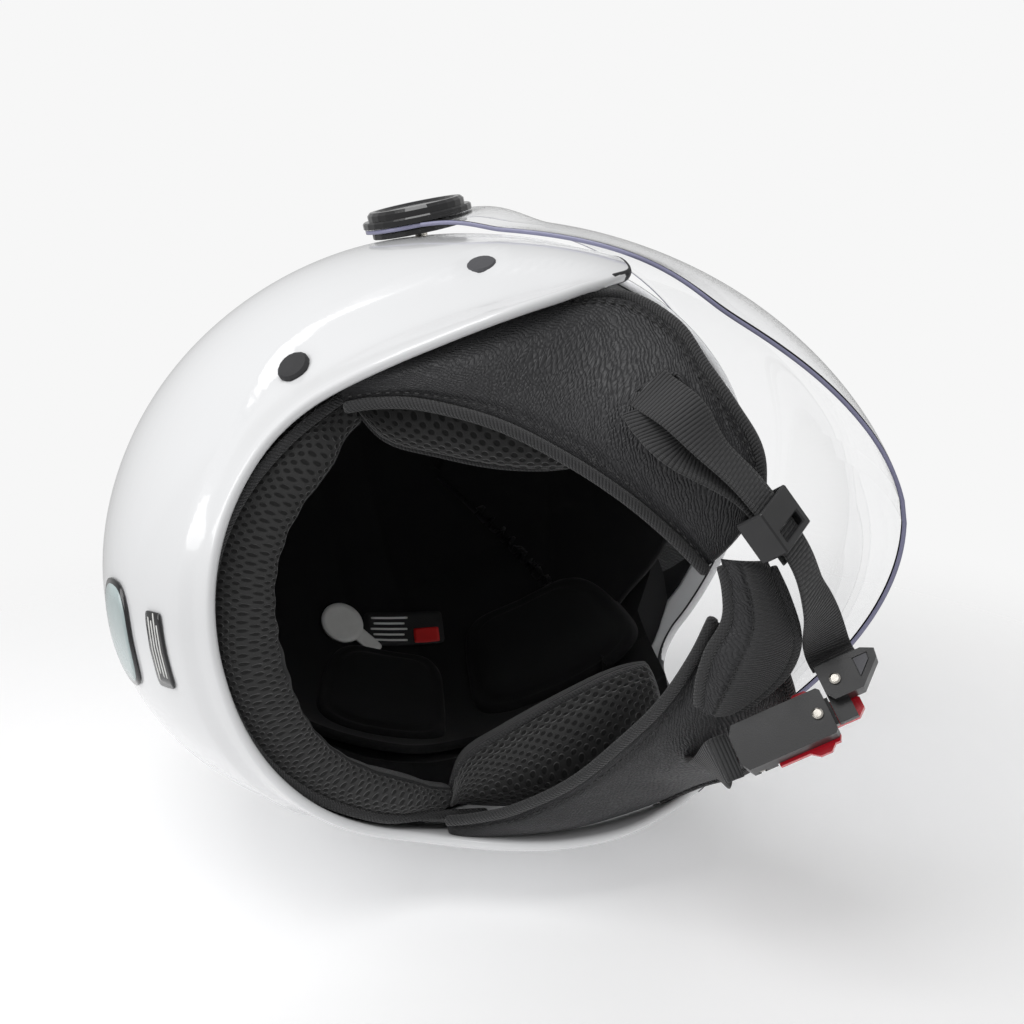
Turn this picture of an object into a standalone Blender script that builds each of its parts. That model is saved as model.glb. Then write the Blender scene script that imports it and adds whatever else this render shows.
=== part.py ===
"""Open-face scooter helmet with a bubble visor, modelled upright: +Z to the crown, -Y to the face,
-X the wearer's right. The origin lies in the head cavity, on the middle plane, level with the ears."""

import math

import bmesh
import bpy
from mathutils import Matrix, Vector

# Outer shell: half axes of an egg whose lower sections swell towards the cheeks.
SHELL_HALF_WIDTH = 0.125
SHELL_HALF_HEIGHT = 0.1344
SHELL_REAR_REACH = 0.1398
SHELL_FRONT_REACH = 0.159
SHELL_CENTRE_Y = 0.0172
SHELL_CENTRE_Z = 0.0025
SHELL_WALL = 0.004
CHEEK_SHIFT = 0.067
CHEEK_DEPTH = 0.0925
FLARE_START_Z = -0.072
FLARE = 0.013
FLARE_DEPTH = 0.02

# Layers inside the shell, each measured from the shell's outer face.
LAYER_GAP = 0.0004
LINER_GAP = 0.0012
LINING_GAP = 0.0014
EPS_THICKNESS = 0.022
LINING_THICKNESS = 0.0055
FOAM_THICKNESS = 0.006

# Face opening and lower rim, seen from the side as (y, z).
BROW_Z = 0.052
BROW_RISE = 0.006
TEMPLE_Y = -0.070
TEMPLE_RADIUS = 0.020
RIM_OUTLINE = (
    (-0.060, -0.071),
    (-0.047, -0.079),
    (-0.035, -0.0855),
    (-0.020, -0.090),
    (0.000, -0.092),
    (0.020, -0.0905),
    (0.046, -0.087),
    (0.062, -0.089),
    (0.078, -0.0955),
    (0.093, -0.102),
    (0.104, -0.106),
)
FAR = 0.19

# Visor: a bubble hung on two side pivots.
PIVOT_Y = -0.0007
PIVOT_Z = 0.0198
VISOR_WALL = 0.002
VISOR_HALF_WIDTH = SHELL_HALF_WIDTH + 0.001
VISOR_REACH = 0.160
VISOR_WIDE_Z = 0.020
VISOR_DEEP_Z = -0.015
VISOR_SIDE_RADIUS = 0.1688
VISOR_LOWER_RADIUS = 0.2026
VISOR_UPPER_RADIUS = 0.147
VISOR_BOTTOM_Z = -0.082
VISOR_TOP_Z = 0.075
VISOR_EAR_RADIUS = 0.022
VISOR_CLEARANCE = 0.0012
VISOR_EAR_X = SHELL_HALF_WIDTH + 0.0046
PIVOT_HOLE_RADIUS = 0.004
PIVOT_SCREW_RADIUS = 0.0025
PIVOT_NUT_RADIUS = 0.007
CAP_RADIUS = 0.0225
CAP_UPPER_RADIUS = 0.020
CAP_HEIGHT = 0.0060
CAP_STEP = 0.0026
PLATE_THICKNESS = 0.002
PLATE_RADIUS = 0.0195

# Plugs and strap anchors, as (y, z) on the shell.
REAR_PLUG_AT = (0.0535, -0.064)
REAR_PLUG_RADIUS = 0.0062
SIDE_PLUG_AT = (-0.019, -0.051)
SIDE_PLUG_RADIUS = 0.0056
PLUG_DEPTH = 0.003
PLUG_SUNK = 0.0006
ANCHOR_THICKNESS = 0.0015
ANCHOR_WIDTH = 0.022
ANCHOR_HEIGHT = 0.016

# Soft pieces.
FLAP_THICKNESS = 0.005
FLAP_BULGE = 0.003
FLAP_INSET = 0.0036
PIPING_RADIUS = 0.0019
TRIM_RADIUS = 0.0019
SLIT_LENGTH = 0.0175
SLIT_WIDTH = 0.0046
NECK_ROLL_DEPTH = 0.015
NECK_ROLL_HEIGHT = 0.027

# Chin strap.
WEB_WIDTH = 0.016
WEB_THICKNESS = 0.0014
STRAP_LAYER_GAP = 0.0022
SLIDER_WALL = 0.0028
SLIDER_RUN = 0.015
SLIDER_CENTRE = Vector((-0.0265, -0.0905, -0.1318))
SLIDER_AHEAD = Vector((0.885, -0.41, -0.22)).normalized()
SLIDER_ACROSS = Vector((0.0, -0.656, 0.755))
BUCKLE_LENGTH = 0.0335
BUCKLE_WIDTH = 0.0162
BUCKLE_HEIGHT = 0.010
BUCKLE_CENTRE = Vector((0.0468, -0.0832, -0.1340))
BUCKLE_AHEAD = Vector((-0.293, -0.949, -0.118)).normalized()
BUCKLE_OUT = Vector((0.692, -0.296, 0.659))
CLAMP_REACH = 0.0145
CLAMP_WEB_X = 0.0085
TONGUE_WIDTH = 0.0096
TONGUE_THICKNESS = 0.0026
TONGUE_CLEARANCE = 0.0005
LEVER_THICKNESS = 0.0028
PIN_RADIUS = 0.0013
SCREW_HEAD_RADIUS = 0.0019

MATERIALS = {
    "shell_white": ((0.86, 0.87, 0.88), 0.12, 0.0),
    "eps_black": ((0.02, 0.02, 0.021), 0.85, 0.0),
    "lining_black": ((0.012, 0.012, 0.013), 0.9, 0.0),
    "mesh_fabric": ((0.02, 0.02, 0.02), 0.8, 0.0),
    "leatherette": ((0.045, 0.045, 0.047), 0.5, 0.0),
    "binding_black": ((0.015, 0.015, 0.015), 0.75, 0.0),
    "visor_clear": ((0.93, 0.94, 0.97), 0.03, 0.0),
    "cap_black": ((0.01, 0.01, 0.01), 0.15, 0.0),
    "plastic_black": ((0.02, 0.02, 0.022), 0.35, 0.0),
    "steel": ((0.62, 0.6, 0.55), 0.3, 1.0),
    "rubber_black": ((0.025, 0.026, 0.028), 0.6, 0.0),
    "plug_grey": ((0.09, 0.09, 0.095), 0.5, 0.0),
    "webbing_black": ((0.018, 0.018, 0.018), 0.8, 0.0),
    "lever_red": ((0.75, 0.01, 0.03), 0.3, 0.0),
    "badge_grey": ((0.45, 0.5, 0.5), 0.3, 0.0),
    "label_black": ((0.03, 0.03, 0.03), 0.4, 0.0),
}


def clear_scene():
    for obj in list(bpy.data.objects):
        bpy.data.objects.remove(obj, do_unlink=True)


def material(name):
    found = bpy.data.materials.get(name)
    if found:
        return found
    colour, roughness, metallic = MATERIALS[name]
    made = bpy.data.materials.new(name)
    made.use_nodes = True
    shader = made.node_tree.nodes["Principled BSDF"]
    shader.inputs["Base Color"].default_value = (*colour, 1.0)
    shader.inputs["Roughness"].default_value = roughness
    shader.inputs["Metallic"].default_value = metallic
    return made


def new_object(name, bm, finish=None, sharp=40.0):
    """A mesh object in the scene; with no finish it is a cutter, which isn't rendered."""
    bmesh.ops.recalc_face_normals(bm, faces=bm.faces)
    if bm.calc_volume(signed=True) < 0:
        bmesh.ops.reverse_faces(bm, faces=bm.faces)
    mesh = bpy.data.meshes.new(name)
    bm.to_mesh(mesh)
    bm.free()
    mesh.shade_smooth()
    mesh.set_sharp_from_angle(angle=math.radians(sharp))
    obj = bpy.data.objects.new(name, mesh)
    bpy.context.scene.collection.objects.link(obj)
    if finish:
        mesh.materials.append(material(finish))
    else:
        obj.hide_render = True
        obj.display_type = "WIRE"
    return obj


def boolean(obj, cutter, operation="DIFFERENCE"):
    modifier = obj.modifiers.new(cutter.name, "BOOLEAN")
    modifier.operation = operation
    modifier.object = cutter


def bevel(obj, width, segments=2):
    modifier = obj.modifiers.new("bevel", "BEVEL")
    modifier.width = width
    modifier.segments = segments
    modifier.limit_method = "ANGLE"


def signed_power(value, exponent):
    return math.copysign(abs(value) ** exponent, value)


def smooth_step(value):
    value = min(max(value, 0.0), 1.0)
    return value * value * (3 - 2 * value)


def larger(a, b, blend=0.004):
    """The larger of two values, rounded off where they meet."""
    return (a + b + math.sqrt((a - b) ** 2 + blend * blend)) / 2


def smooth_line(points, steps=4):
    """Points along a Catmull-Rom curve through the given ones."""
    points = [Vector(p) for p in points]
    ends = [2 * points[0] - points[1], *points, 2 * points[-1] - points[-2]]
    line = []
    for a, b, c, d in zip(ends, ends[1:], ends[2:], ends[3:]):
        for i in range(steps):
            t = i / steps
            line.append(
                0.5
                * (2 * b + (c - a) * t + (2 * a - 5 * b + 4 * c - d) * t**2 + (3 * b - a - 3 * c + d) * t**3)
            )
    return [*line, points[-1]]


def along(line, count):
    """That many points evenly spaced along a line of points."""
    lengths = [0.0]
    for a, b in zip(line, line[1:]):
        lengths.append(lengths[-1] + (b - a).length)
    found = []
    for i in range(count):
        target = lengths[-1] * i / (count - 1)
        k = min(sum(value <= target for value in lengths), len(line) - 1)
        share = (target - lengths[k - 1]) / (lengths[k] - lengths[k - 1])
        found.append(line[k - 1].lerp(line[k], share))
    return found


def mirrored(points):
    return [Vector((-p[0], p[1], p[2])) for p in points]


# ---- the shell's surface ----


def shell_section(z, inset):
    """Half width, centre y, front reach and rear reach of the shell's level section."""
    half_height = SHELL_HALF_HEIGHT - inset
    level = min(max((z - SHELL_CENTRE_Z) / half_height, -1.0), 1.0)
    squareness = 2.1 if level < 0 else 2.0
    width = (SHELL_HALF_WIDTH - inset) * (1 - abs(level) ** squareness) ** (1 / squareness)
    if z < FLARE_START_Z:
        width += FLARE * ((FLARE_START_Z - z) / FLARE_DEPTH) ** 1.2
    narrowing = math.sqrt(1 - level * level)
    rear = SHELL_CENTRE_Y + (SHELL_REAR_REACH - inset) * narrowing
    front = SHELL_CENTRE_Y - (SHELL_FRONT_REACH - inset) * narrowing
    shift = CHEEK_SHIFT * smooth_step((SHELL_CENTRE_Z - z) / CHEEK_DEPTH)
    centre = max(SHELL_CENTRE_Y - shift, front + 0.001)
    return width, centre, centre - front, rear - centre


def roundness(z):
    return 1.93 + 0.17 * smooth_step(-z / 0.075)


def shell_point(z, turn, inset=0.0):
    """The point at a level and a turn about +Z, 0 at the face and positive towards +X."""
    width, centre, front, rear = shell_section(z, inset)
    power = 2 / roundness(z)
    reach = front if math.cos(turn) > 0 else rear
    return Vector(
        (
            width * signed_power(math.sin(turn), power),
            centre - reach * signed_power(math.cos(turn), power),
            z,
        )
    )


def shell_side(y, z, inset=0.0):
    """The shell's x, on its +X side, at a given y and z."""
    width, centre, front, rear = shell_section(z, inset)
    reach = front if y < centre else rear
    power = roundness(z)
    share = min(abs(y - centre) / reach, 1.0)
    return width * (1 - share**power) ** (1 / power)


def shell_normal(y, z, side):
    step = 0.002
    here = Vector((shell_side(y, z), y, z))
    up = Vector((shell_side(y, z + step), y, z + step)) - here
    back = Vector((shell_side(y + step, z), y + step, z)) - here
    normal = back.cross(up).normalized()
    return Vector((side * normal.x, normal.y, normal.z))


def egg(name, inset, finish, around, up):
    bm = bmesh.new()
    bmesh.ops.create_uvsphere(bm, u_segments=around, v_segments=up, radius=1.0)
    for vert in bm.verts:
        z = SHELL_CENTRE_Z + (SHELL_HALF_HEIGHT - inset) * vert.co.z
        vert.co = shell_point(z, math.atan2(vert.co.x, -vert.co.y), inset)
    return new_object(name, bm, finish)


def prism(name, outline, low=-FAR, high=FAR):
    """A cutter: an outline in (y, z), drawn out along X."""
    bm = bmesh.new()
    face = bm.faces.new([bm.verts.new((low, y, z)) for y, z in outline])
    made = bmesh.ops.extrude_face_region(bm, geom=[face])["geom"]
    moved = [v for v in made if isinstance(v, bmesh.types.BMVert)]
    bmesh.ops.translate(bm, verts=moved, vec=(high - low, 0, 0))
    return new_object(name, bm)


def trim_outline(inward, back_lift=0.0):
    """The side view of what lies behind the face opening and above the rim, drawn in by a margin."""
    temple = TEMPLE_Y + inward
    brow = BROW_Z + inward
    rim = [Vector((y, z + inward + back_lift, 0)) for y, z in RIM_OUTLINE]
    rim[0].x += inward
    points = [(FAR, rim[-1].y), *[(p.x, p.y) for p in reversed(smooth_line(rim, 2))]]
    points.append((temple, points[-1][1] + 0.012))
    for i in range(7):
        turn = math.radians(90 * i / 6)
        points.append(
            (
                temple - TEMPLE_RADIUS * (1 - math.cos(turn)),
                brow - BROW_RISE - TEMPLE_RADIUS * (1 - math.sin(turn)),
            )
        )
    points += [(-0.13, brow), (-FAR, brow), (-FAR, FAR), (FAR, FAR)]
    return points


def layer(name, finish, outer, inner, outline, around, up):
    """A wall of the egg between two insets, kept inside a side outline."""
    body = egg(name, outer, finish, around, up)
    boolean(body, egg(name + "_hollow", inner, None, around, up))
    boolean(body, prism(name + "_trim", outline), "INTERSECT")
    return body


def cylinder(name, radius, centre, axis, length, finish=None, segments=14):
    bm = bmesh.new()
    bmesh.ops.create_cone(
        bm, cap_ends=True, segments=segments, radius1=radius, radius2=radius, depth=length
    )
    turn = Vector((0, 0, 1)).rotation_difference(Vector(axis)).to_matrix().to_4x4()
    bm.transform(Matrix.Translation(centre) @ turn)
    return new_object(name, bm, finish)


def turned(name, profile, centre, axis, finish, segments=20):
    """A piece turned about an axis, from a closed profile of (radius, height) that starts and ends at it."""
    bm = bmesh.new()
    verts = [bm.verts.new((r, 0, h)) for r, h in profile]
    edges = [bm.edges.new(pair) for pair in zip(verts, verts[1:])]
    bmesh.ops.spin(
        bm, geom=verts + edges, axis=(0, 0, 1), cent=(0, 0,
            0), angle=math.tau, steps=segments, use_merge=True
    )
    bmesh.ops.remove_doubles(bm, verts=bm.verts, dist=1e-6)
    obj = new_object(name, bm, finish, 30)
    obj.location = centre
    obj.rotation_mode = "QUATERNION"
    obj.rotation_quaternion = Vector((0, 0, 1)).rotation_difference(Vector(axis))
    return obj


def loft(name, rings, finish):
    """A closed solid through rings of equally many points, its first and last ring capped."""
    bm = bmesh.new()
    loops = [[bm.verts.new(p) for p in ring] for ring in rings]
    for a, b in zip(loops, loops[1:]):
        for i in range(len(a)):
            k = (i + 1) % len(a)
            bm.faces.new((a[i], a[k], b[k], b[i]))
    bm.faces.new(loops[0])
    bm.faces.new(loops[-1])
    return new_object(name, bm, finish)


def pillow_ring(low, high, up, thickness, bulge, count=12):
    """A flat oval between two points; up is its thickness direction and bulge lifts its middle."""
    across = high - low
    ring = []
    for i in range(count):
        turn = math.tau * i / count
        share = 0.5 - 0.5 * signed_power(math.cos(turn), 0.8)
        rise = 0.5 * thickness * signed_power(math.sin(turn), 0.8) + bulge * 4 * share * (1 - share)
        ring.append(low + across * share + up * rise)
    return ring


def pillow(name, lows, highs, thickness, bulge, finish, hint=Vector((0, 0, 1))):
    """A padded band between two lines of points, tapered at both ends; hint picks its upper side."""
    rings = []
    last = len(lows) - 1
    for i, (low, high) in enumerate(zip(lows, highs)):
        tangent = lows[min(i + 1, last)] + highs[min(i + 1, last)] - lows[max(i - 1,
            0)] - highs[max(i - 1, 0)]
        up = tangent.cross(high - low).normalized()
        if up.dot(hint) < 0:
            up.negate()
        fat = 0.6 + 0.4 * smooth_step(min(i, last - i) / 5)
        rings.append(pillow_ring(low, high, up, thickness * fat, bulge * fat))
    return loft(name, rings, finish)


def tube(name, points, radius, finish):
    curve = bpy.data.curves.new(name, "CURVE")
    curve.dimensions = "3D"
    spline = curve.splines.new("POLY")
    spline.points.add(len(points) - 1)
    for point, co in zip(spline.points, points):
        point.co = (*co, 1.0)
    curve.bevel_depth = radius
    curve.bevel_resolution = 2
    curve.use_fill_caps = True
    curve.materials.append(material(finish))
    obj = bpy.data.objects.new(name, curve)
    bpy.context.scene.collection.objects.link(obj)
    return obj


def box(name, low, high, frame, finish=None):
    """A box between two corners given in a local frame."""
    bm = bmesh.new()
    bmesh.ops.create_cube(bm, size=1.0)
    low, high = Vector(low), Vector(high)
    for vert in bm.verts:
        vert.co = Vector((low[i] + (high[i] - low[i]) * (vert.co[i] + 0.5) for i in range(3)))
    obj = new_object(name, bm, finish)
    obj.matrix_world = frame
    return obj


def frame_at(centre, x_axis, z_hint):
    """A right-handed local frame whose X runs along x_axis and whose Z leans to z_hint."""
    x = Vector(x_axis).normalized()
    y = Vector(z_hint).cross(x).normalized()
    z = x.cross(y)
    return Matrix.Translation(centre) @ Matrix((x, y, z)).transposed().to_4x4()


# ---- shell and layers ----


def make_shell():
    shell = layer("outer_shell", "shell_white", 0.0, SHELL_WALL, trim_outline(0.0), 44, 26)
    pivot = Vector((0, PIVOT_Y, PIVOT_Z))
    boolean(shell, cylinder("pivot_bore", PIVOT_SCREW_RADIUS + 0.0005, pivot, (1, 0, 0), 2 * FAR))
    for side in (-1, 1):
        for name, at, radius in plugs():
            centre, normal = on_shell(at, side)
            hole = cylinder(f"{name}_hole_{side}", radius + LAYER_GAP, centre, normal, 0.02)
            boolean(shell, hole)


def plugs():
    return (("rear_plug", REAR_PLUG_AT, REAR_PLUG_RADIUS), ("side_plug", SIDE_PLUG_AT, SIDE_PLUG_RADIUS))


def on_shell(at, side, out=0.0):
    y, z = at
    normal = shell_normal(y, z, side)
    return Vector((side * shell_side(y, z), y, z)) + normal * out, normal


def make_layers():
    start = SHELL_WALL + LINER_GAP
    lining = start + EPS_THICKNESS + LINING_GAP
    eps = layer("eps_liner", "eps_black", start, start + EPS_THICKNESS, liner_outline(0.006), 36, 20)
    for side in (-1, 1):
        reach = SHELL_HALF_WIDTH - SHELL_WALL
        at = Vector((side * reach, PIVOT_Y, PIVOT_Z))
        boolean(eps, cylinder(f"nut_pocket_{side}", PIVOT_NUT_RADIUS + 0.001, at, (1, 0, 0), 0.032))
    layer("crown_lining", "lining_black", lining, lining + LINING_THICKNESS, liner_outline(0.009), 32, 18)


def liner_outline(inward):
    """Side view of the liner: it ends above the cheek pads, and dips to the neck roll at the back."""
    brow = BROW_Z + inward
    points = [(FAR, -0.066 + inward), (0.075, -0.066 + inward), (0.050, -0.040 + inward)]
    points += [(0.030, -0.026 + inward), (TEMPLE_Y + inward, -0.026 + inward)]
    points += [(TEMPLE_Y + inward, brow - 0.022), (TEMPLE_Y + inward - 0.018, brow - 0.004)]
    points += [(-0.13, brow + 0.003), (-FAR, brow + 0.003), (-FAR, FAR), (FAR, FAR)]
    return points


def lining_face():
    """How far the lining's inner face lies inside the shell's outer face."""
    return SHELL_WALL + LINER_GAP + EPS_THICKNESS + LINING_GAP + LINING_THICKNESS


def foam_pad(name, side, z_low, z_high, turn_low, turn_high):
    """A cushion on the lining, spread over a patch of levels and turns."""
    inset = lining_face() + LINING_GAP
    rings = []
    for i in range(9):
        turn = math.radians(turn_low + (turn_high - turn_low) * i / 8)
        fat = 0.35 + 0.65 * math.sin(math.pi * i / 8) ** 0.5
        ring = []
        for k in range(12):
            angle = math.tau * k / 12
            level = 0.5 + 0.5 * signed_power(math.cos(angle), 0.6)
            z = z_low + (z_high - z_low) * level
            depth = 0.5 * FOAM_THICKNESS * (1 + fat * signed_power(math.sin(angle), 0.6))
            ring.append(shell_point(z, side * turn, inset + depth))
        rings.append(ring)
    loft(name, rings, "lining_black")


def make_foam_pads():
    for side, word in ((-1, "right"), (1, "left")):
        foam_pad(f"front_foam_pad_{word}", side, 0.002, 0.068, 50, 93)
        foam_pad(f"rear_foam_pad_{word}", side, -0.016, 0.052, 100, 134)


# ---- soft lower pieces ----


def flap_outer_line():
    """The flap's outer edge on the +X side: inside the rim, then free along its front to the tip."""
    inside = [(0.036, -0.0815), (0.020, -0.0845), (-0.010, -0.0855), (-0.040, -0.078)]
    line = [(shell_side(y, z, SHELL_WALL + FLAP_INSET), y, z) for y, z in inside]
    line += [(0.0965, -0.0625, -0.0745), (0.086, -0.076, -0.089), (0.073, -0.081, -0.101)]
    line += [(0.060, -0.086, -0.1115), (0.045, -0.0905, -0.118), (0.026, -0.088, -0.119)]
    return along(smooth_line(line), 19)


def flap_inner_line():
    """The flap's inner edge, where the piping runs, on the +X side."""
    line = [(0.083, 0.037, -0.0850), (0.0830, 0.026, -0.0875), (0.080, 0.010, -0.0925),
        (0.070, -0.012, -0.0995)]
    line += [(0.055, -0.032, -0.1055), (0.040, -0.048, -0.1115), (0.024, -0.061, -0.1145),
        (0.010, -0.070, -0.1155)]
    return along(smooth_line(line), 19)


def make_flap(side, word):
    outer, inner = flap_outer_line(), flap_inner_line()
    if side < 0:
        outer, inner = mirrored(outer), mirrored(inner)
    flap = pillow(
        f"ear_flap_{word}", outer, inner, FLAP_THICKNESS, FLAP_BULGE, "leatherette", Vector((0, 0, -1))
    )
    boolean(flap, slit_cutter(side, word))
    drop = PIPING_RADIUS + 0.0009
    piping = [p + Vector((-side * drop, 0.2 * drop, -0.0006)) for p in along(inner, 26)]
    tube(f"flap_piping_{word}", piping[1:-1], PIPING_RADIUS, "binding_black")
    front = along(outer[8:], 16)
    out = Vector((side * 0.35, -0.93, -0.1)) * (TRIM_RADIUS + 0.0025)
    tube(f"flap_trim_{word}", [p + out for p in front[1:-1]], TRIM_RADIUS, "binding_black")


def slit_frame(side):
    centre = Vector((side * 0.0695, -0.0625, -0.1065))
    return frame_at(centre, (side * 0.30, -0.93, -0.18), (side * 0.55, 0.0, -0.83))


def slit_cutter(side, word):
    half = Vector((SLIT_LENGTH / 2, SLIT_WIDTH / 2, 0.02))
    return box(f"slit_{word}", -half, half, slit_frame(side))


def make_cheek_pad(side, word):
    """A deep pad above each flap, from the ear to the front of the cheek, leaning in over the flap's edge."""
    inner = smooth_line([(0.082, 0.036, -0.083), (0.066, 0.027, -0.087), (0.057, 0.010, -0.0905),
                         (0.049, -0.009, -0.0935), (0.044, -0.028, -0.0930), (0.043, -0.042, -0.088),
                         (0.045, -0.052, -0.080)])
    rings = []
    for i, low in enumerate(along(inner, 11)):
        share = i / 10
        fat = 0.45 + 0.55 * math.sin(math.pi * min(max(share, 0.08), 0.92)) ** 0.5
        outer = min(shell_side(low.y, -0.06, SHELL_WALL + 0.011), 0.0945)
        half_width = (outer - low.x) / 2
        middle = Vector((side * (outer + low.x) / 2, low.y, (low.z - 0.036) / 2))
        half_height = (-0.036 - low.z) / 2 * (0.75 + 0.25 * fat)
        ring = []
        for k in range(14):
            angle = math.tau * k / 14
            x = signed_power(math.cos(angle), 0.7)
            z = signed_power(math.sin(angle), 0.7)
            lift = 0.0095 * (x + 1) * (1 - z) / 4
            ring.append(middle + Vector((side * x * half_width, 0, z * half_height + lift * 2)))
        rings.append(ring)
    loft(f"cheek_pad_{word}", rings, "mesh_fabric")


def make_neck_roll():
    """A crescent cushion inside the back of the rim, from ear to ear."""
    rings = []
    for i in range(29):
        turn = math.radians(120 + 120 * i / 28)
        end = abs(i - 14) / 14
        fat = 1 - 0.35 * smooth_step((end - 0.8) / 0.2)
        low = -0.1005 + 0.017 * end**1.6
        ring = []
        for k in range(14):
            angle = math.tau * k / 14
            z = low + NECK_ROLL_HEIGHT / 2 * (1 + fat * signed_power(math.sin(angle), 0.7))
            inset = SHELL_WALL + 0.002 + NECK_ROLL_DEPTH / 2 * (1 + fat * signed_power(math.cos(angle),
                0.7))
            rim_turn = shell_point(max(z, -0.098), turn, inset)
            ring.append(Vector((rim_turn.x, rim_turn.y, z)))
        rings.append(ring)
    loft("neck_roll", rings, "mesh_fabric")


# ---- visor and pivots ----


def visor_bubble(z, turn, inset):
    width = VISOR_HALF_WIDTH * math.sqrt(1 - ((z - VISOR_WIDE_Z) / VISOR_SIDE_RADIUS) ** 2)
    radius = VISOR_LOWER_RADIUS if z < VISOR_DEEP_Z else VISOR_UPPER_RADIUS
    reach = VISOR_REACH * math.sqrt(1 - ((z - VISOR_DEEP_Z) / radius) ** 2)
    power = 2 / 1.88
    x = (width - inset) * signed_power(math.sin(turn), power)
    return Vector((x, -(reach - inset) * abs(math.cos(turn)) ** power, z))


def visor_point(side_share, level, inset):
    """side_share runs -1..1 from ear to ear over the bubble and ends in two round, flat ears."""
    beyond = max(abs(side_share) - 0.9, 0.0) / 0.1
    turn = math.radians(90) * min(abs(side_share) / 0.9, 1.0)
    side = math.copysign(1.0, side_share)
    bottom = VISOR_BOTTOM_Z + (PIVOT_Z - VISOR_EAR_RADIUS - VISOR_BOTTOM_Z) * (turn / math.radians(90)) ** 2.15
    top = PIVOT_Z + VISOR_EAR_RADIUS + (VISOR_TOP_Z - PIVOT_Z - VISOR_EAR_RADIUS) * math.cos(turn)
    if beyond:
        reach = math.sin(beyond * math.radians(82))
        half = VISOR_EAR_RADIUS * math.sqrt(1 - reach * reach)
        z = PIVOT_Z + half * (2 * level - 1)
        point = Vector((side * VISOR_HALF_WIDTH, PIVOT_Y + VISOR_EAR_RADIUS * reach, z))
    else:
        z = bottom + (top - bottom) * level
        point = visor_bubble(z, side * turn, inset)
        point.y += PIVOT_Y
    clear = shell_side(point.y, point.z) + VISOR_WALL + VISOR_CLEARANCE - inset
    point.x = side * larger(abs(point.x), clear)
    away = math.hypot(point.y - PIVOT_Y, point.z - PIVOT_Z)
    flat = 1 - smooth_step((away - 0.023) / 0.030)
    point.x += (side * (VISOR_EAR_X - inset) - point.x) * flat
    return point


def make_visor():
    """The bubble as a closed wall, with a bore at each ear. It turns about the pivots' axis."""
    bm = bmesh.new()
    across, up = 40, 8
    faces = []
    for inset in (0.0, VISOR_WALL):
        rows = []
        for k in range(up + 1):
            rows.append([bm.verts.new(visor_point(2 * i / across - 1, k / up,
                inset)) for i in range(across + 1)])
        faces.append(rows)
    for rows in faces:
        for low, high in zip(rows, rows[1:]):
            for i in range(across):
                bm.faces.new((low[i], low[i + 1], high[i + 1], high[i]))
    outer, inner = faces
    for row in (0, -1):
        for i in range(across):
            bm.faces.new((outer[row][i], outer[row][i + 1], inner[row][i + 1], inner[row][i]))
    for column in (0, -1):
        for k in range(up):
            bm.faces.new(
                (outer[k][column], outer[k + 1][column], inner[k + 1][column], inner[k][column])
            )
    visor = new_object("visor", bm, "visor_clear")
    pivot = Vector((0, PIVOT_Y, PIVOT_Z))
    for vert in visor.data.vertices:
        vert.co -= pivot
    visor.location = pivot
    boolean(visor, cylinder("visor_bore", PIVOT_HOLE_RADIUS, pivot, (1, 0, 0), 2 * FAR))


def make_pivots():
    plate_x = VISOR_EAR_X - VISOR_WALL - 0.0003
    cap_x = VISOR_EAR_X + 0.0003
    screw_x = SHELL_HALF_WIDTH - 0.0165
    for side, word in ((-1, "right"), (1, "left")):
        out = Vector((side, 0, 0))
        bore = PIVOT_SCREW_RADIUS + 0.0006
        plate = [(bore, 0), (PLATE_RADIUS, 0), (PLATE_RADIUS, PLATE_THICKNESS), (bore, PLATE_THICKNESS),
            (bore, 0)]
        at = Vector((side * (plate_x - PLATE_THICKNESS), PIVOT_Y, PIVOT_Z))
        turned(f"pivot_plate_{word}", plate, at, out, "plastic_black")
        hollow = 0.0072
        cap = [(0, hollow - 0.0036), (hollow, hollow - 0.0036), (hollow, 0), (CAP_RADIUS, 0)]
        cap += [(CAP_RADIUS, CAP_STEP - 0.0006), (CAP_RADIUS - 0.0006, CAP_STEP),
            (CAP_UPPER_RADIUS, CAP_STEP)]
        cap += [(CAP_UPPER_RADIUS, CAP_HEIGHT - 0.0012), (CAP_UPPER_RADIUS - 0.0012, CAP_HEIGHT)]
        cap += [(CAP_UPPER_RADIUS - 0.003, CAP_HEIGHT), (CAP_UPPER_RADIUS - 0.004, CAP_HEIGHT - 0.0007)]
        cap += [(0, CAP_HEIGHT - 0.0007)]
        turned(f"visor_cap_{word}", cap, Vector((side * cap_x, PIVOT_Y, PIVOT_Z)), out, "cap_black", 28)
        head = cap_x - screw_x + 0.0004
        screw = [(0, 0), (PIVOT_SCREW_RADIUS, 0), (PIVOT_SCREW_RADIUS, head), (0.0055, head)]
        screw += [(0.0055, head + 0.002), (0.0045, head + 0.0026), (0, head + 0.0026)]
        turned(f"pivot_screw_{word}", screw, Vector((side * screw_x, PIVOT_Y, PIVOT_Z)), out, "steel", 12)
        inner = PIVOT_SCREW_RADIUS + 0.0004
        nut = [(inner, 0), (PIVOT_NUT_RADIUS, 0), (PIVOT_NUT_RADIUS, 0.006), (inner, 0.006), (inner, 0)]
        turned(f"pivot_nut_{word}", nut, Vector((side * (screw_x + 0.0008), PIVOT_Y, PIVOT_Z)), out,
            "steel", 6)


def make_plugs():
    finishes = {"rear_plug": "rubber_black", "side_plug": "plug_grey"}
    for side, word in ((-1, "right"), (1, "left")):
        for name, at, radius in plugs():
            centre, normal = on_shell(at, side, -PLUG_DEPTH - PLUG_SUNK)
            edge = 0.0008
            profile = [(0, 0), (radius, 0), (radius, PLUG_DEPTH - edge), (radius - edge, PLUG_DEPTH),
                (0, PLUG_DEPTH)]
            turned(f"{name}_{word}", profile, centre, normal, finishes[name], 16)


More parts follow.
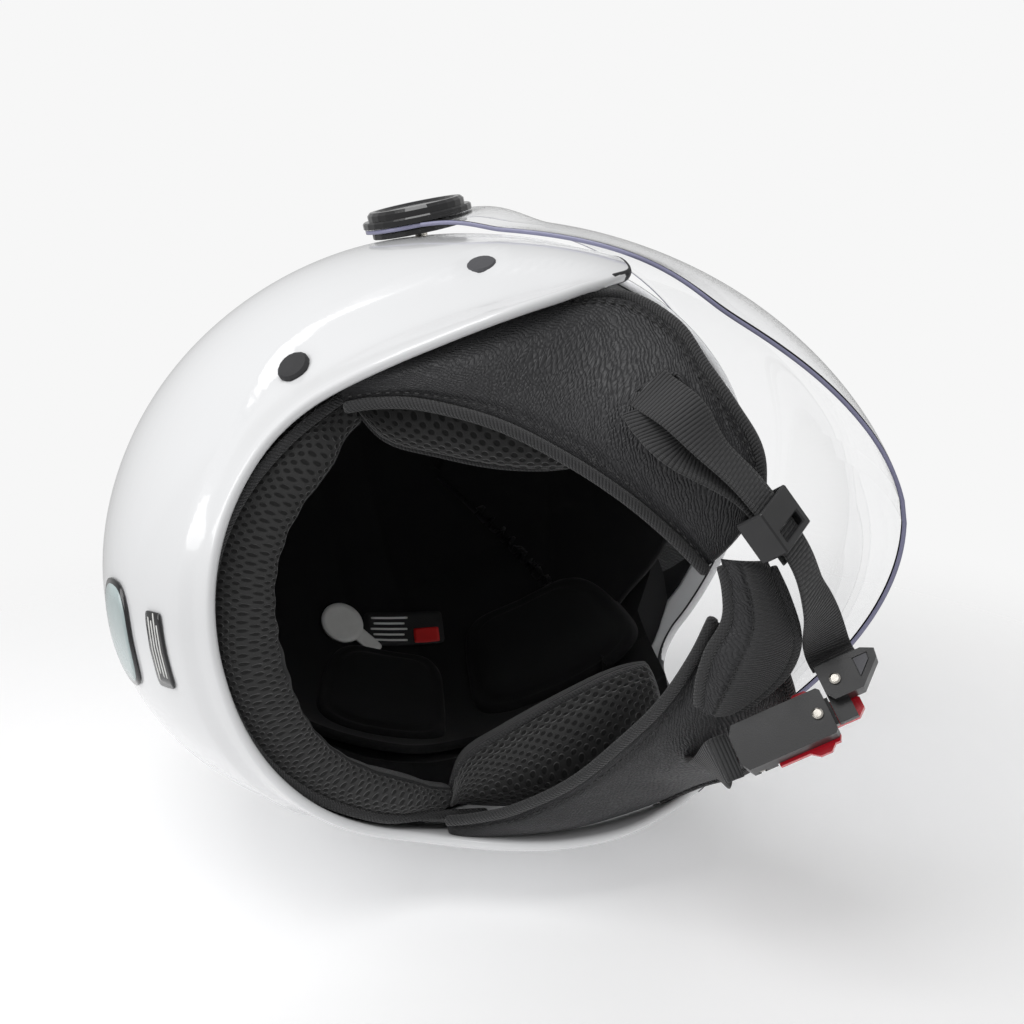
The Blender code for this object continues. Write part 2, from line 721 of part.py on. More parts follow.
def make_anchors():
    """A steel plate behind each side plug, riveted to the shell, that holds the strap."""
    for side, word in ((-1, "right"), (1, "left")):
        centre, normal = on_shell(SIDE_PLUG_AT, side, -SHELL_WALL - 0.0035)
        frame = frame_at(centre, (0, 1, 0), normal)
        low = (-ANCHOR_WIDTH / 2, -ANCHOR_HEIGHT / 2, -ANCHOR_THICKNESS)
        plate = box(f"strap_anchor_{word}", low, (ANCHOR_WIDTH / 2, ANCHOR_HEIGHT / 2, 0), frame, "steel")
        boolean(plate, cylinder(f"anchor_bore_{word}", 0.0029, centre, normal, 0.02))
        start, _ = on_shell(SIDE_PLUG_AT, side, -SHELL_WALL - 0.0072)
        top = PLUG_DEPTH + 0.0002
        rivet = [(0, 0), (0.0045, 0), (0.0045, 0.0016), (0.0025, 0.0016), (0.0025, top), (0, top)]
        turned(f"anchor_rivet_{word}", rivet, start, normal, "steel", 12)


# ---- chin strap ----


def web(name, points, twist, width=WEB_WIDTH):
    """Flat webbing along a line of centres; twist lists shares of its length with its width's direction."""
    count = 18
    centres = along(smooth_line(points, 6), count)
    rings = []
    for i, centre in enumerate(centres):
        share = i / (count - 1)
        ahead = (centres[min(i + 1, count - 1)] - centres[max(i - 1, 0)]).normalized()
        k = next(k for k in range(1, len(twist)) if share <= twist[k][0])
        (start, first), (end, last) = twist[k - 1], twist[k]
        across = first.lerp(last, smooth_step((share - start) / (end - start)))
        across = (across - ahead * across.dot(ahead)).normalized() * (width / 2)
        up = ahead.cross(across).normalized() * (WEB_THICKNESS / 2)
        rings.append([centre - across - up, centre + across - up, centre + across + up,
            centre - across + up])
    return loft(name, rings, "webbing_black")


def buckle_frame():
    """Local frame of the buckle: X to the mouth, Z out of the lever's face, Y across."""
    return frame_at(BUCKLE_CENTRE, BUCKLE_AHEAD, BUCKLE_OUT)


def slider_frame():
    """Local frame of the slider: X along the strap, Z out of the strap's outer face."""
    normal = SLIDER_AHEAD.cross(SLIDER_ACROSS)
    if normal.y > 0:
        normal.negate()
    return frame_at(SLIDER_CENTRE, SLIDER_AHEAD, normal)


def make_webbing():
    slit = slit_frame(-1).col[0].xyz
    slider = slider_frame()
    across = slider.col[1].xyz
    if across.dot(slit) < 0:
        across.negate()
    before, after = slider @ Vector((-0.012, 0, 0)), slider @ Vector((0.012, 0, 0))
    buckle = buckle_frame()
    half = BUCKLE_LENGTH / 2
    end = buckle @ Vector((half + CLAMP_WEB_X, -CLAMP_REACH - 0.0008, -0.0010))
    before_end = buckle @ Vector((half + CLAMP_WEB_X, -CLAMP_REACH - 0.006, -0.0014))
    top = [(-0.0700, -0.0628, -0.1075), (-0.0640, -0.0690, -0.1190), (-0.0521, -0.0755, -0.1245),
        before, after]
    top += [(0.0010, -0.0985, -0.1360), before_end, end]
    twist = [(0, slit), (0.32, across), (0.62, across), (1, buckle.col[0].xyz)]
    web("right_webbing", top, twist)
    under = slider.col[2].xyz * -STRAP_LAYER_GAP
    tail = [(-0.0590, -0.0600, -0.1150), (-0.0510, -0.0665, -0.1240), before + under * 1.4, after + under]
    web("right_webbing_tail", tail, [(0, slit.lerp(across, 0.6)), (0.45, across), (1, across)],
        WEB_WIDTH - 0.001)
    end = buckle @ Vector((-half - 0.0018, 0, 0))
    before_end = buckle @ Vector((-half - 0.0075, 0, 0))
    left = [(0.0668, -0.0605, -0.1065), (0.0665, -0.0605, -0.1140), (0.0625, -0.0595, -0.1230),
        before_end, end]
    web("left_webbing", left, [(0, -slit_frame(1).col[0].xyz), (1, buckle.col[1].xyz)])


def make_slider():
    """A ladder-lock slider: a flat sleeve round both layers, with a bar over the top one."""
    frame = slider_frame()
    wide = WEB_WIDTH / 2 + SLIDER_WALL
    low, high = -STRAP_LAYER_GAP - 0.0042, 0.0040
    slider = box("strap_slider", (-SLIDER_RUN / 2, -wide, low), (SLIDER_RUN / 2, wide, high), frame,
        "plastic_black")
    opening = WEB_WIDTH / 2 + 0.0005
    reach = SLIDER_RUN
    sleeve = box("slider_opening", (-reach, -opening, low + 0.0018), (reach, opening, high - 0.0018), frame)
    boolean(slider, sleeve)
    window = box("slider_window", (0.0012, -opening + 0.001, 0), (0.0052, opening - 0.001, 0.01), frame)
    boolean(slider, window)
    bevel(slider, 0.0006, 1)


def make_buckle():
    """The housing: ears for the lever's pin at the strap end, a channel for the tongue at the mouth."""
    frame = buckle_frame()
    half = BUCKLE_LENGTH / 2
    wide = BUCKLE_WIDTH / 2
    base = -BUCKLE_HEIGHT / 2
    top = BUCKLE_HEIGHT / 2 - LEVER_THICKNESS
    ears = -half + 0.0105
    outline = [(-half, wide - 0.003), (-half + 0.002, wide), (half - 0.001, wide), (half, wide - 0.001)]
    outline += [(half, -wide + 0.001), (half - 0.001, -wide), (-half + 0.002, -wide),
        (-half, -wide + 0.003)]
    housing = plate("buckle_housing", outline, base, top + LEVER_THICKNESS, frame, "plastic_black")
    boolean(housing, box("lever_seat", (ears, -wide - 0.01, top), (half + 0.01, wide + 0.01, 0.02), frame))
    channel = TONGUE_WIDTH / 2 + TONGUE_CLEARANCE
    floor = -TONGUE_THICKNESS / 2 - TONGUE_CLEARANCE
    boolean(housing, box("tongue_channel", (-half + 0.012, -channel, floor),
        (half + 0.01, channel, 0.02), frame))
    pocket = wide - 0.0026
    boolean(housing, box("lever_pocket", (-half - 0.01, -pocket, top), (ears + 0.01, pocket, 0.02), frame))
    heel = box("heel_relief", (-half - 0.01, -pocket, top - 0.0017),
        (-half + 0.0056, pocket, top + 0.001), frame)
    boolean(housing, heel)
    pin_at = frame @ Vector((-half + 0.005, 0, top + LEVER_THICKNESS / 2))
    across = frame.col[1].xyz
    boolean(housing, cylinder("pin_bore", PIN_RADIUS + 0.0003, pin_at, across, 0.05))
    out = frame.col[2].xyz
    screw_at = frame @ Vector((half - 0.0038, 0, base))
    boolean(housing, cylinder("screw_bore", 0.0011, screw_at, out, 0.0044))
    make_lever(frame, half, wide, pocket, top, pin_at)
    cylinder("lever_pin", PIN_RADIUS, pin_at, across, BUCKLE_WIDTH - 0.0006, "steel", 16)
    face_screw("buckle_screw", screw_at, -out)
    make_tongue(frame, half)


def plate(name, outline, low, high, frame, finish):
    """A prism over an (x, y) outline in a local frame."""
    levels = [low, high]
    rings = [[frame @ Vector((x, y, z)) for x, y in outline] for z in levels]
    return loft(name, rings, finish)


def make_lever(frame, half, wide, pocket, top, pin_at):
    """The release lever: a heel on the pin, a plate over the housing, side wings and a thumb tab."""
    base = top + 0.0003
    tip = base + LEVER_THICKNESS
    heel = pocket - 0.0004
    ears = -half + 0.0105
    lever = box("release_lever", (-half + 0.0022, -heel, base), (ears + 0.003, heel, tip), frame,
        "lever_red")
    side = wide + 0.0010
    cover = [(ears + 0.0006, -side), (half - 0.001, -side), (half, -side + 0.002), (half, side - 0.002)]
    cover += [(half - 0.001, side), (ears + 0.0006, side)]
    boolean(lever, plate("lever_cover", cover, base, tip, frame, None), "UNION")
    wing = wide + 0.0030
    root = side - 0.0012
    wings = [(half - 0.0135, -root), (half - 0.009, -wing), (half - 0.005, -wing), (half - 0.0015, -root)]
    wings += [(half - 0.0015, root), (half - 0.005, wing), (half - 0.009, wing), (half - 0.0135, root)]
    boolean(lever, plate("lever_wings", wings, base + 0.0002, tip - 0.0002, frame, None), "UNION")
    tab = [(half - 0.002, -0.0042), (half + 0.008, -0.0042), (half + 0.0108, -0.0018),
        (half + 0.0108, 0.0018)]
    tab += [(half + 0.008, 0.0042), (half - 0.002, 0.0042)]
    boolean(lever, plate("thumb_tab", tab, base + 0.0004, tip + 0.0008, frame, None), "UNION")
    boolean(lever, cylinder("lever_bore", PIN_RADIUS + 0.0003, pin_at, frame.col[1].xyz, 0.05))
    pivot = Matrix.Translation(pin_at) @ frame.to_3x3().to_4x4()
    shift = pivot.inverted() @ frame
    lever.data.transform(shift)
    lever.matrix_world = pivot


def make_tongue(frame, half):
    """The toothed tongue slides in the housing's channel; the clamp at its outer end holds the strap."""
    wide = TONGUE_WIDTH / 2
    thick = TONGUE_THICKNESS / 2
    tongue = box("ratchet_tongue", (-half + 0.014, -wide, -thick), (half + 0.0011, wide, thick), frame,
        "plastic_black")
    for i in range(6):
        x = -half + 0.0165 + 0.0026 * i
        tooth = box(f"tooth_gap_{i}", (x, -wide - 0.002, thick - 0.0007),
            (x + 0.0011, wide + 0.002, 0.01), frame)
        boolean(tongue, tooth)
    near, reach = half + 0.0014, CLAMP_REACH
    low, high = -BUCKLE_HEIGHT / 2 - 0.0004, thick + 0.0006
    outline = [(near, -reach), (near + 0.0165, -reach), (near + 0.0205, -reach + 0.002)]
    outline += [(near + 0.0200, -reach + 0.005), (near + 0.0120, -0.0020), (near + 0.0020, -0.0020)]
    outline += [(near, -0.0050)]
    clamp = plate("tongue_clamp", outline, low, high, frame, "plastic_black")
    neck = box("clamp_neck", (near, -0.0090, -thick), (near + 0.0065, wide, thick + 0.0002), frame)
    boolean(clamp, neck, "UNION")
    window = [(near + 0.0125, -reach + 0.0022), (near + 0.0178, -reach + 0.0022),
        (near + 0.0176, -reach + 0.0046)]
    window += [(near + 0.0124, -0.0050)]
    boolean(clamp, plate("insert_pocket", window, low - 0.01, low + 0.0008, frame, None))
    middle = sum((Vector(corner) for corner in window), Vector((0, 0))) / 4
    inner = [middle + (Vector(corner) - middle) * 0.86 for corner in window]
    plate("clamp_insert", inner, low - 0.0003, low + 0.0004, frame, "plug_grey")
    out = frame.col[2].xyz
    screw_at = frame @ Vector((near + 0.0048, -0.0082, low))
    boolean(clamp, cylinder("clamp_bore", 0.0011, screw_at, out, 0.0044))
    face_screw("clamp_screw", screw_at, -out)


def face_screw(name, centre, out):
    """A screw sunk in a flat face, its head standing proud along out."""
    profile = [(0, -0.0019), (0.0009, -0.0019), (0.0009, 0.0002), (SCREW_HEAD_RADIUS, 0.0002)]
    profile += [(SCREW_HEAD_RADIUS, 0.0007), (SCREW_HEAD_RADIUS - 0.0006, 0.0011), (0, 0.0011)]
    turned(name, profile, centre, out, "steel", 12)


def make_chin_pad():
    """The padded leatherette sleeve over the strap's left side, between the flaps' tips and the buckle."""
    lower = [(-0.0165, -0.0722, -0.1270), (-0.006, -0.0728, -0.1280), (0.0050, -0.0710, -0.1285)]
    lower += [(0.0150, -0.0640, -0.1280), (0.0260, -0.0595, -0.1270), (0.0370, -0.0580, -0.1245)]
    upper = [(-0.0125, -0.0872, -0.1270), (0.002, -0.0910, -0.1288), (0.0160, -0.0925, -0.1295)]
    upper += [(0.0270, -0.0880, -0.1285), (0.0345, -0.0790, -0.1270), (0.0400, -0.0690, -0.1250)]
    low, high = along(smooth_line(lower), 14), along(smooth_line(upper), 14)
    pillow("chin_pad", low, high, 0.0048, 0.002, "leatherette", Vector((0, 0, -1)))


# ---- stickers and labels ----


def shell_patch(name, corners, inset, thickness, finish, columns=8, rows=4):
    """A thin plate laid over the shell's surface, between two levels and two turns."""
    z_low, z_high, turn_low, turn_high = corners
    rings = []
    for i in range(columns + 1):
        turn = math.radians(turn_low + (turn_high - turn_low) * i / columns)
        levels = [z_low + (z_high - z_low) * k / rows for k in range(rows + 1)]
        outer = [shell_point(z, turn, inset) for z in levels]
        inner = [shell_point(z, turn, inset + thickness) for z in reversed(levels)]
        rings.append(outer + inner)
    loft(name, rings, finish)


def make_stickers():
    shell_patch("rear_badge", (-0.074, -0.046, 173, 193), -0.0011, 0.0008, "badge_grey")
    shell_patch("info_label", (-0.0925, -0.0825, 178, 193), -0.0011, 0.0008, "label_black")
    shell_patch("inner_label", (0.0570, 0.0740, 106, 126), lining_face() + LINING_GAP, 0.0008,
        "label_black")


def main():
    clear_scene()
    make_shell()
    make_layers()
    make_foam_pads()
    for side, word in ((-1, "right"), (1, "left")):
        make_flap(side, word)
        make_cheek_pad(side, word)
    make_neck_roll()
    make_visor()
    make_pivots()
    make_plugs()
    make_anchors()
    make_webbing()
    make_slider()
    make_buckle()
    make_chin_pad()
    make_stickers()


main()
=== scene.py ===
"""Finishes of an open-face scooter helmet: shell, bubble visor, padding, flaps, strap and buckle, on a
plain stage."""

import math

import bmesh
import bpy
import numpy as np
from mathutils import Matrix, Vector


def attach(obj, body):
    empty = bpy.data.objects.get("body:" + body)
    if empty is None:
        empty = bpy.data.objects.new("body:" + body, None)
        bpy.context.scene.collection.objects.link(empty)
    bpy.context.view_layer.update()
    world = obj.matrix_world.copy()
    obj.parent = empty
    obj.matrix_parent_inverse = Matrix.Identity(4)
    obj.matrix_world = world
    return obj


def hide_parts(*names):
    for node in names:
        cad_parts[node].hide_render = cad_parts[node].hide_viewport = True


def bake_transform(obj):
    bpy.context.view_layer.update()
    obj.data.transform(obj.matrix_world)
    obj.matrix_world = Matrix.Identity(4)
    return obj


bl_info = {
    "name": "Scooter Helmet",
    "version": (1, 0, 0),
    "blender": (4, 5, 0),
    "location": "3D View > Sidebar > Helmet",
    "description": "Builds the finished pieces of an open-face scooter helmet",
    "category": "Object",
}

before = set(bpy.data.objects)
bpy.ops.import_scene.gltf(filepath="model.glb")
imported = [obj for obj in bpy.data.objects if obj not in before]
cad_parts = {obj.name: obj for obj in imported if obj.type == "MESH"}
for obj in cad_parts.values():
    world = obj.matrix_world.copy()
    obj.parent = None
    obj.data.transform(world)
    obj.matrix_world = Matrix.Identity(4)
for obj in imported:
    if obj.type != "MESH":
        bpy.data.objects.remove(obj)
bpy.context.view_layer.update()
BODY = "helmet"

# ---- sizes that the solids share, in metres ----

HALF_WIDTH = 0.125
HALF_HEIGHT = 0.1344
REAR_REACH = 0.1398
FRONT_REACH = 0.159
CENTRE = Vector((0.0, 0.0172, 0.0025))
WALL = 0.004
LINING_INSET = 0.0341
BROW_Z = 0.052
BROW_RISE = 0.006
TEMPLE_Y = -0.070
TEMPLE_RADIUS = 0.020
RIM = (
    (-0.060, -0.071),
    (-0.047, -0.079),
    (-0.035, -0.0855),
    (-0.020, -0.090),
    (0.000, -0.092),
    (0.020, -0.0905),
    (0.046, -0.087),
    (0.062, -0.089),
    (0.078, -0.0955),
    (0.093, -0.102),
    (0.104, -0.106),
)
CREASE = (
    (-0.075, -0.070),
    (-0.045, -0.064),
    (-0.018, -0.057),
    (0.007, -0.0525),
    (0.030, -0.052),
    (0.049, -0.054),
    (0.065, -0.063),
    (0.081, -0.079),
    (0.095, -0.093),
    (0.107, -0.099),
    (0.140, -0.1005),
)
PIVOT = Vector((0.0, -0.0007, 0.0198))
REAR_PLUG = (0.0535, -0.064)
SIDE_PLUG = (-0.019, -0.051)
EAR_X = 0.1296
EAR_RADIUS = 0.022
VISOR_WALL = 0.002
BUCKLE_CENTRE = Vector((0.0468, -0.0832, -0.1340))
BUCKLE_AHEAD = Vector((-0.293, -0.949, -0.118)).normalized()
BUCKLE_OUT = Vector((0.692, -0.296, 0.659))
BUCKLE_HALF = 0.01675
CLAMP_REACH = 0.0145
CLAMP_WEB_X = 0.0085
SLIDER_CENTRE = Vector((-0.0265, -0.0905, -0.1318))
SLIDER_AHEAD = Vector((0.885, -0.41, -0.22)).normalized()
SLIDER_ACROSS = Vector((0.0, -0.656, 0.755))
WEB_WIDTH = 0.016
WEB_THICKNESS = 0.0014
MIDDLE = np.array([0.0, 0.01, 0.0])
BADGE_AT = (-0.0110, 0.139, -0.0605)
LABEL_AT = (-0.0115, 0.119, -0.0875)


# ---- shell surface, worked on arrays of points ----


def smooth(value):
    value = np.clip(value, 0.0, 1.0)
    return value * value * (3 - 2 * value)


def power(value, exponent):
    return np.sign(value) * np.abs(value) ** exponent


def section(z, inset=0.0):
    """Half width, centre y, front reach and rear reach of the shell's level section."""
    half = HALF_HEIGHT - inset
    level = np.clip((z - CENTRE.z) / half, -0.99999, 0.99999)
    square = np.where(level < 0, 2.1, 2.0)
    width = (HALF_WIDTH - inset) * (1 - np.abs(level) ** square) ** (1 / square)
    width = width + 0.013 * (np.maximum(-0.072 - z, 0.0) / 0.02) ** 1.2
    narrow = np.sqrt(1 - level * level)
    rear = CENTRE.y + (REAR_REACH - inset) * narrow
    front = CENTRE.y - (FRONT_REACH - inset) * narrow
    shift = 0.067 * smooth((CENTRE.z - z) / 0.0925)
    centre = np.maximum(CENTRE.y - shift, front + 0.001)
    return width, centre, centre - front, rear - centre


def roundness(z):
    return 1.93 + 0.17 * smooth(-z / 0.075)


def shell_at(z, turn, inset=0.0):
    """Points at levels and turns about +Z, 0 at the face and positive towards +X."""
    z = np.asarray(z, dtype=float)
    turn = np.asarray(turn, dtype=float)
    width, centre, front, rear = section(z, inset)
    share = 2 / roundness(z)
    reach = np.where(np.cos(turn) > 0, front, rear)
    x = width * power(np.sin(turn), share)
    y = centre - reach * power(np.cos(turn), share)
    return np.stack([x, y, z + 0 * x], axis=-1)


def side_x(y, z, inset=0.0):
    """The shell's x on its +X side."""
    y = np.asarray(y, dtype=float)
    z = np.asarray(z, dtype=float)
    width, centre, front, rear = section(z, inset)
    reach = np.where(y < centre, front, rear)
    exponent = roundness(z)
    share = np.minimum(np.abs(y - centre) / reach, 1.0)
    return width * (1 - share**exponent) ** (1 / exponent)


def outside(points, inset):
    """Above 0 outside the shell's surface drawn in by inset, below 0 inside."""
    x, y, z = points[..., 0], points[..., 1], points[..., 2]
    width, centre, front, rear = section(z, inset)
    reach = np.where(y < centre, front, rear)
    exponent = roundness(z)
    value = (np.abs(x) / width) ** exponent + (np.abs(y - centre) / reach) ** exponent - 1
    return np.where(np.abs(z - CENTRE.z) >= HALF_HEIGHT - inset - 1e-5, 1.0, value)


def cast(directions, inset):
    """Where rays from the shell's middle meet its surface drawn in by inset."""
    low = np.full(directions.shape[:-1], 0.02)
    high = np.full(directions.shape[:-1], 0.22)
    for _ in range(34):
        middle = (low + high) / 2
        out = outside(MIDDLE + directions * middle[..., None], inset) > 0
        high = np.where(out, middle, high)
        low = np.where(out, low, middle)
    return MIDDLE + directions * low[..., None]


def aim(points):
    """Unit directions from the shell's middle to points."""
    away = points - MIDDLE
    return away / np.linalg.norm(away, axis=-1, keepdims=True)


def unit(vectors):
    return vectors / np.maximum(np.linalg.norm(vectors, axis=-1, keepdims=True), 1e-12)


def surface_normal(points, inset=0.0):
    """Outward normals of the shell's surface near points."""
    step = 0.0006
    grads = []
    for axis in range(3):
        shift = np.zeros(3)
        shift[axis] = step
        grads.append(outside(points * 0.9995 + shift, inset) - outside(points * 0.9995 - shift, inset))
    return unit(np.stack(grads, axis=-1))


def spline(points, steps=8):
    """A smooth curve through points, as an array."""
    points = np.asarray([tuple(p) for p in points], dtype=float)
    ends = np.vstack([2 * points[0] - points[1], points, 2 * points[-1] - points[-2]])
    t = (np.arange(steps) / steps)[:, None]
    runs = []
    for a, b, c, d in zip(ends, ends[1:], ends[2:], ends[3:]):
        runs.append(0.5 * (2 * b + (c - a) * t + (2 * a - 5 * b + 4 * c - d) * t**2
            + (3 * b - a - 3 * c + d) * t**3))
    return np.vstack([*runs, points[-1:]])


def evenly(line, count):
    """That many points evenly spaced along a line."""
    line = np.asarray(line, dtype=float)
    lengths = np.concatenate([[0.0], np.cumsum(np.linalg.norm(np.diff(line, axis=0), axis=1))])
    wanted = np.linspace(0, lengths[-1], count)
    return np.stack([np.interp(wanted, lengths, line[:, k]) for k in range(line.shape[1])], axis=-1)


def run_length(line):
    return float(np.linalg.norm(np.diff(line, axis=0), axis=1).sum())


def flip_x(points, side):
    points = np.array(points, dtype=float)
    points[..., 0] *= side
    return points


def trim_line(outline, count):
    """The closed line where a side outline (y, z) cuts the shell, from the nape round by +X to the brow
    and back."""
    line = evenly(spline(outline, 6), 3000)
    _, centre, front, rear = section(line[:, 1])
    meets = (line[:, 0] < centre + rear) & (line[:, 0] > centre - front)
    line = line[meets]
    half = np.stack([side_x(line[:, 0], line[:, 1]), line[:, 0], line[:, 1]], axis=-1)
    half[0, 0] = half[-1, 0] = 0.0
    half = evenly(half, count // 2 + 1)
    return np.vstack([half, flip_x(half[::-1], -1)[1:]])


def shell_outline(inward=0.0):
    """Side view (y, z) of the shell's edge, from the nape up to the brow."""
    points = [(0.130, RIM[-1][1] + inward), (0.116, RIM[-1][1] + inward)]
    points += [(y, z + inward) for y, z in reversed(RIM)]
    temple = TEMPLE_Y + inward
    points.append((temple + 0.0015, points[-1][1] + 0.008))
    points.append((temple, points[-1][1] + 0.010))
    points.append((temple, -0.020))
    points.append((temple, 0.010))
    brow = BROW_Z + inward
    for i in range(5):
        turn = math.radians(90 * i / 4)
        points.append(
            (
                temple - TEMPLE_RADIUS * (1 - math.cos(turn)),
                brow - BROW_RISE - TEMPLE_RADIUS * (1 - math.sin(turn)),
            )
        )
    points += [(-0.106, brow - 0.003), (-0.126, brow - 0.0006), (-0.150, brow), (-0.165, brow)]
    return points


# ---- mesh helpers ----


def place_mesh(name, bm, materials, smooth_shade=True):
    mesh = bpy.data.meshes.new(name)
    bm.to_mesh(mesh)
    bm.free()
    if smooth_shade:
        mesh.shade_smooth()
    obj = bpy.data.objects.new(name, mesh)
    bpy.context.scene.collection.objects.link(obj)
    for item in materials:
        mesh.materials.append(item)
    return obj


def sheet_bm(columns, rows, place, uv_size=None):
    """A grid of faces whose corners are placed by a function of u and v, with its UV map in metres."""
    bm = bmesh.new()
    bmesh.ops.create_grid(bm, x_segments=columns, y_segments=rows, size=0.5)
    grid = np.array([v.co[:2] for v in bm.verts]) + 0.5
    if uv_size is None:
        ticks = np.linspace(0, 1, 41)
        uv_size = (
            run_length(place(ticks, np.full(41, 0.5))),
            run_length(place(np.full(41, 0.5), ticks)),
        )
    layer = bm.loops.layers.uv.new("UVMap")
    for face in bm.faces:
        for loop in face.loops:
            co = loop.vert.co
            loop[layer].uv = ((co.x + 0.5) * uv_size[0], (co.y + 0.5) * uv_size[1])
    for vert, co in zip(bm.verts, place(grid[:, 0], grid[:, 1])):
        vert.co = co
    return bm


def close_sheet(bm):
    """Joins the meeting edges of a sheet that wraps round, and points its faces outwards."""
    bmesh.ops.remove_doubles(bm, verts=bm.verts, dist=1e-5)
    bmesh.ops.dissolve_degenerate(bm, edges=bm.edges, dist=1e-6)
    bmesh.ops.recalc_face_normals(bm, faces=bm.faces)
    if bm.calc_volume(signed=True) < 0:
        bmesh.ops.reverse_faces(bm, faces=bm.faces)


def closed_sheet(name, columns, rows, place, materials, uv_size=None):
    bm = sheet_bm(columns, rows, place, uv_size)
    close_sheet(bm)
    return place_mesh(name, bm, materials)


def frames_along(line, normals):
    """Tangents, and normals made square to them, along a line."""
    tangents = unit(np.gradient(line, axis=0))
    normals = np.asarray(normals, dtype=float)
    normals = unit(normals - tangents * (normals * tangents).sum(-1, keepdims=True))
    return tangents, normals, np.cross(tangents, normals)


def sampled(values, share):
    """Rows of an array read at shares of its length."""
    ticks = np.linspace(0, 1, len(values))
    return np.stack([np.interp(share, ticks, values[:, k]) for k in range(values.shape[1])], axis=-1)


def sweep(name, line, normals, profile, materials, columns=96, around=12, closed=False):
    """A profile of (across, up) offsets carried along a line; its ends close to a point unless it loops."""
    line = evenly(line, columns + 1)
    normals = sampled(np.asarray(normals, dtype=float), np.linspace(0, 1, columns + 1))
    if closed:
        tangents = unit(np.roll(line[:-1], -1, axis=0) - np.roll(line[:-1], 1, axis=0))
        tangents = np.vstack([tangents, tangents[:1]])
        normals = unit(normals - tangents * (normals * tangents).sum(-1, keepdims=True))
        across = np.cross(tangents, normals)
    else:
        tangents, normals, across = frames_along(line, normals)

    def place(u, v):
        c = sampled(line, u)
        n = unit(sampled(normals, u))
        a = unit(sampled(across, u))
        dx, dn = profile(v, u)
        if not closed:
            dx = np.where((u < 1e-6) | (u > 1 - 1e-6), 0, dx)
            dn = np.where((u < 1e-6) | (u > 1 - 1e-6), 0, dn)
        return c + a * dx[:, None] + n * dn[:, None]

    girth = np.array([profile(np.array([t]), np.array([0.5])) for t in np.linspace(0, 1, 33)]).reshape(33,
        2)
    return closed_sheet(name, columns, around, place, materials, (run_length(line), run_length(girth)))


def round_profile(radius, flat=1.0):
    def profile(v, u):
        angle = 2 * np.pi * v
        ends = np.minimum(np.minimum(u, 1 - u) / 0.012, 1.0)
        fat = np.sqrt(np.clip(1 - (1 - ends) ** 2, 0.0, 1.0))
        return radius * np.cos(angle) * fat, radius * flat * np.sin(angle) * fat

    return profile


def oval_profile(wide, high):
    def profile(v, u):
        return wide * np.cos(2 * np.pi * v), high * np.sin(2 * np.pi * v)

    return profile


def band_profile(width, thickness):
    """A flat band with rounded edges."""

    def profile(v, u):
        angle = 2 * np.pi * v
        return width / 2 * power(np.cos(angle), 0.28), thickness / 2 * power(np.sin(angle), 0.6)

    return profile


def stitches(name, line, normals, material, pitch=0.0032, length=0.0023, radius=0.00033, lift=0.0001):
    """Short rounded stitches laid end to end along a line, each dipping at its ends."""
    line = np.asarray(line, dtype=float)
    count = max(int(run_length(line) / pitch), 2)
    centres = evenly(line, count)
    up = sampled(np.asarray(normals, dtype=float), np.linspace(0, 1, count))
    tangents, up, across = frames_along(centres, up)
    bm = bmesh.new()
    for centre, ahead, normal, side in zip(centres, tangents, up, across):
        made = bmesh.ops.create_icosphere(bm, subdivisions=1, radius=1.0)["verts"]
        spot = centre + normal * lift
        for vert in made:
            x, y, z = vert.co
            vert.co = Vector(spot + ahead * (x * length / 2) + side * (y * radius) + normal
                * (z * radius - x * x * 0.0001))
    return place_mesh(name, bm, [material])


def cad_material(material, *nodes):
    """Gives CAD nodes a finish."""
    for node in nodes:
        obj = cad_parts[node]
        for slot in obj.material_slots:
            slot.link = "OBJECT"
            slot.material = material


def settle(obj, replaced=(), body=BODY):
    """Rides a piece on its body and hides the CAD nodes that it stands in for."""
    if isinstance(body, str):
        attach(obj, body)
    if replaced:
        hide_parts(*replaced)
    return obj


# ---- finishes ----


def group(name, inputs, outputs):
    """A new shader node group with named sockets, and its input and output nodes."""
    tree = bpy.data.node_groups.new(name, "ShaderNodeTree")
    for socket, kind, value in inputs:
        made = tree.interface.new_socket(socket, in_out="INPUT", socket_type=kind)
        if value is not None:
            made.default_value = value
    for socket in outputs:
        tree.interface.new_socket(socket, in_out="OUTPUT", socket_type="NodeSocketFloat")
    return tree, tree.nodes.new("NodeGroupInput"), tree.nodes.new("NodeGroupOutput")


def node(tree, kind, settings=None, **inputs):
    """A node with its settings and inputs; an input may be a value or another node's socket."""
    made = tree.nodes.new(kind)
    for key, value in (settings or {}).items():
        setattr(made, key, value)
    for key, value in inputs.items():
        name = key.replace("_", " ")
        socket = made.inputs[int(key[1:])] if key[0] == "i" and key[1:].isdigit() else made.inputs[name]
        if isinstance(value, bpy.types.NodeSocket):
            tree.links.new(value, socket)
        else:
            socket.default_value = value
    return made


def calc(tree, operation, a, b=0.0, c=0.0, clamp=False):
    made = node(tree, "ShaderNodeMath", {"operation": operation, "use_clamp": clamp}, i0=a, i1=b)
    if operation in ("MULTIPLY_ADD", "SMOOTH_MIN", "SMOOTH_MAX"):
        if isinstance(c, bpy.types.NodeSocket):
            tree.links.new(c, made.inputs[2])
        else:
            made.inputs[2].default_value = c
    return made.outputs[0]


def ramp(tree, value, low, high, out_low=0.0, out_high=1.0):
    made = node(
        tree,
        "ShaderNodeMapRange",
        {"interpolation_type": "SMOOTHSTEP"},
        Value=value,
        From_Min=low,
        From_Max=high,
        To_Min=out_low,
        To_Max=out_high,
    )
    return made.outputs[0]


def noise(tree, vector, scale, detail):
    return node(tree, "ShaderNodeTexNoise", Vector=vector, Scale=scale, Detail=detail).outputs[0]


